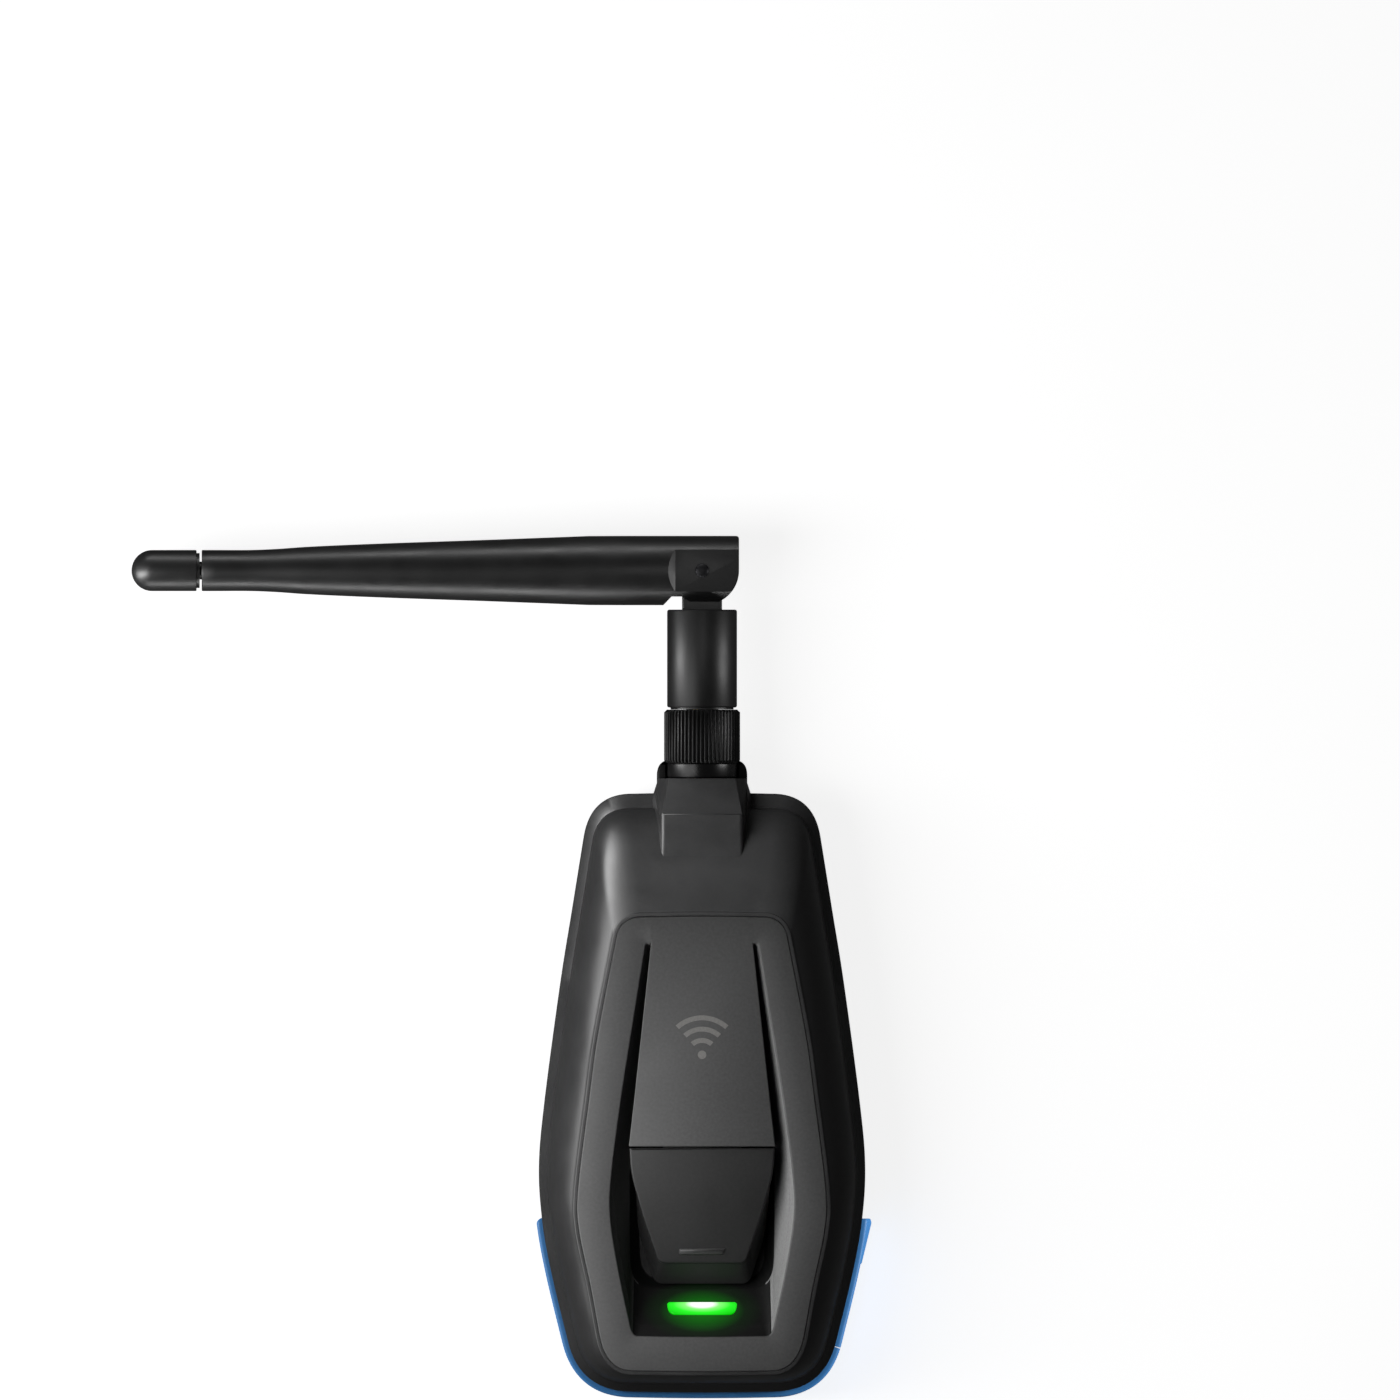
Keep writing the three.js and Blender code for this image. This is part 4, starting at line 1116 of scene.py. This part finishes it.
# (distance from the pivot, radius)
MAST_TAPER = [(16.6, 5.04), (31.4, 4.48), (46.9, 3.94), (57, 3.5), (62, 3.16), (66, 3), (71, 3)]


def fork_plan():
    """The fork from above: square at one corner, round at the other so that it clears the sleeve."""
    root, notch, round_radius = MAST_ROOT, -3.8, 5
    centre = FORK_END - round_radius
    plan = [(-SHEATH_END - 1, -root - 1), (-5.65, -root - 1), (-5.65, -root), (-4.45, notch)]
    first = -math.pi - math.asin(notch / round_radius)
    plan += arc(centre, 0, round_radius, first, 0, 30)
    plan.append((FORK_END, root - 0.5))
    plan += bezier((FORK_END, root - 0.5), (FORK_END, root), (FORK_END - 0.5, root), 6)
    plan += [(FORK_END - 0.5, root + 1), (-SHEATH_END - 1, root + 1)]
    return [(PIVOT.x + x, PIVOT.y + y) for x, y in plan]


def fork_slot():
    """Between the cheeks, where the knuckle's post turns."""
    return block(
        "fork_slot",
        (PIVOT.x - 3.4, PIVOT.y - 6, AXIS_Z - FORK_SLOT),
        (PIVOT.x + FORK_END + 1, PIVOT.y + 3.4, AXIS_Z + FORK_SLOT),
    )


def cheek_cut(way):
    """Takes a cheek down to its flat, with a sloping shoulder towards the mast."""
    depth = 2.2
    profile = [(-FLAT_START - depth, CHEEK_HALF + depth), (-FLAT_START, CHEEK_HALF)]
    profile += [(FORK_END + 1, CHEEK_HALF), (FORK_END + 1, CHEEK_HALF + depth)]
    rings = [[(PIVOT.x + x, PIVOT.y + y, AXIS_Z + way * z) for x, z in profile] for y in (-6.5, 6.5)]
    return loft("cheek_cut", rings)


def mast_sheath():
    taper = [(p.y, p.x) for p in catmull_rom(MAST_TAPER, 40)]
    tip = MAST_TAPER[-1][1]
    profile = [(0, -FORK_END), (MAST_ROOT, -FORK_END), (MAST_ROOT, 12)] + taper
    profile += [(tip, SHEATH_END - 0.15), (tip - 0.05, SHEATH_END - 0.04), (tip - 0.15, SHEATH_END)]
    profile += [(1.6, SHEATH_END), (1.6, 8), (0, 8)]
    sheath = turned("mast_shape", profile, PIVOT, (-1, 0, 0), 120)
    boolean(sheath, prism("fork_plan", fork_plan(), AXIS_Z - 6, AXIS_Z + 6), "INTERSECT")
    cut(sheath, cheek_cut(1), cheek_cut(-1), fork_slot())
    rounded(sheath, 0.14, 3, 28)
    return cut(sheath, pin_hole(6))


def tip_cap():
    """The cap: a spigot in the mast, a groove, and a round end."""
    spigot, neck, radius = 1.3, 2.55, 3
    spigot_end, groove_end = SHEATH_END + 0.3, SHEATH_END + 0.75
    profile = [(0, SHEATH_END - 3), (spigot, SHEATH_END - 3), (spigot, spigot_end), (neck, spigot_end)]
    profile += [(neck, groove_end), (radius - 0.15, groove_end), (radius - 0.04, groove_end + 0.04)]
    profile += [(radius, groove_end + 0.15)]
    profile += [(radius * (1 - inward), MAST_TIP - radius + radius * up) for inward, up in quarter(16)]
    return turned("mast_tip", profile, PIVOT, (-1, 0, 0), 96)


def hinge_pin():
    head, top = CHEEK_HALF + 0.02, high("hinge_pin").z - AXIS_Z
    crown = [(PIN_RADIUS * (1 - inward), head + (top - head) * up) for inward, up in quarter(10)]
    shank = [(PIN_RADIUS - 0.24, head)]
    profile = [(radius, -height) for radius, height in (shank + crown)[::-1]] + shank + crown
    return turned("hinge_pin_dome", profile, PIVOT, (0, 0, 1), 48, sharp=50)


place(mast_sheath(), "antenna_mast", antenna_black, "antenna_black", "mast_sheath")
place(tip_cap(), "antenna_mast", antenna_black, "antenna_black", "tip_cap")
place(hinge_pin(), "antenna_mast", steel_black, "steel_black", "hinge_pin")


# ---- Finishes of the CAD pieces that stay ----

CARRIED_OVER = {
    steel: ["button_pin", "shield_can", "clock_crystal", "usb_shell"],
    board_green: ["main_board"],
    chip_black: ["radio_chip", "memory_chip", "usb_contacts", "switch_body"],
    button_dark: ["switch_plunger"],
    ptfe_white: ["led_chip", "socket_insulator"],
    cable_black: ["coax_pigtail"],
    brass: ["pigtail_plug", "socket_pin", "plug_body", "plug_contact", "radiator_tube"],
    copper: ["radiator_rod"],
}
for material, names in CARRIED_OVER.items():
    for name in names:
        coat(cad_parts[name], material)


# ---- Floor, light and camera ----

def pale_floor():
    """Pale paper that lights itself a little and that reflections don't show."""
    nodes = Nodes("floor_paper")
    paper = nodes.ramp(nodes.noise(60, 2), [(0.3, (0.88,) * 3), (0.7, (0.92,) * 3)])
    nodes.feed("Base Color", paper)
    nodes.fix("Roughness", 0.9)
    nodes.fix("Specular IOR Level", 0.1)
    nodes.fix("Emission Color", (1, 1, 1, 1))
    nodes.fix("Emission Strength", 0.85)
    half = 900
    floor = block("floor", (-half, -half, -4), (half, half, 0))
    floor.data.transform(Matrix.Scale(MM, 4))
    coat(floor, nodes.material)
    floor.visible_glossy = False


def softbox(name, stand, aim, size, power, pieces=()):
    """A lamp that the camera doesn't see. With pieces named, it lights only those."""
    lamp = bpy.data.objects.new(name, bpy.data.lights.new(name, "AREA"))
    lamp.data.shape = "RECTANGLE"
    lamp.data.size, lamp.data.size_y = size
    lamp.data.energy = power
    lamp.location = stand
    lamp.rotation_euler = (Vector(aim) - Vector(stand)).to_track_quat("-Z", "Y").to_euler()
    lamp.visible_camera = False
    bpy.context.scene.collection.objects.link(lamp)
    if pieces:
        lit = bpy.data.collections.new(name + "_lights")
        for piece in pieces:
            lit.objects.link(bpy.data.objects[piece])
        lamp.light_linking.receiver_collection = lit


FACE_PIECES = ["face_frame_plate", "signal_mark", "well_tray_skin", "button_paddle_skin", "button_dash"]
SHELL_PIECES = ["casing_top"]
RUBBER_PIECES = ["bumper", "port_flap"]
MAST_PIECES = ["knuckle_sleeve", "mast_shape", "mast_tip", "hinge_pin_dome"]
SLEEVE_PIECES = MAST_PIECES + ["coupling_nut_grip"]


def studio():
    world = bpy.data.worlds.new("studio")
    world.use_nodes = True
    background = world.node_tree.nodes["Background"]
    background.inputs["Color"].default_value = (1, 1, 1, 1)
    background.inputs["Strength"].default_value = 0.045
    bpy.context.scene.world = world
    bpy.context.scene.view_settings.view_transform = "Standard"
    softbox("soft_left", (-0.22, 0, 0.22), (0, 0.02, 0.01), (0.15, 0.3), 0.3)
    softbox("face_key", (-0.046, -0.01, 0.037), (0, -0.01, 0.018), (0.07, 0.15), 0.167, FACE_PIECES)
    softbox("shell_key", (-0.08, 0.035, 0.09), (0, 0.03, 0.018), (0.09, 0.12), 0.2, SHELL_PIECES)
    softbox("shell_near", (-0.08, -0.035, 0.07), (0, -0.03, 0.018), (0.05, 0.1), 0.09, SHELL_PIECES)
    softbox("streak", (-0.2, 0.2, 0.17), (0, 0.03, 0.015), (0.2, 0.16), 1.6, SHELL_PIECES)
    softbox("rubber_left", (-0.2, 0, 0.08), (0, -0.03, 0.005), (0.1, 0.1), 0.35, RUBBER_PIECES)
    softbox("rubber_right", (0.2, 0, 0.1), (0, -0.03, 0.005), (0.1, 0.1), 0.6, RUBBER_PIECES)
    softbox("antenna_far", (-0.04, 0.2, 0.045), (-0.04, 0.076, 0.01), (0.2, 0.02), 0.11, MAST_PIECES)
    softbox("antenna_near", (-0.04, -0.05, 0.03), (-0.04, 0.076, 0.01), (0.2, 0.02), 0.17, MAST_PIECES)
    softbox("antenna_left", (-0.12, 0.06, 0.04), (0, 0.063, 0.01), (0.02, 0.06), 0.075, SLEEVE_PIECES)
    softbox("fork_top", (0.005, 0.08, 0.12), (0, 0.076, 0.01), (0.03, 0.03), 0.006, MAST_PIECES)
    softbox("antenna_right", (0.12, 0.06, 0.05), (0, 0.063, 0.01), (0.02, 0.06), 0.05, SLEEVE_PIECES)


VIEW_CENTRE, VIEW_WIDTH = Vector((-0.3, 57.2, 1000)), 204.4
pale_floor()
studio()
camera = bpy.data.objects.new("camera", bpy.data.cameras.new("camera"))
bpy.context.scene.collection.objects.link(camera)
camera.location = VIEW_CENTRE * MM
camera.data.type = "ORTHO"
camera.data.ortho_scale = VIEW_WIDTH * MM
bpy.context.scene.camera = camera
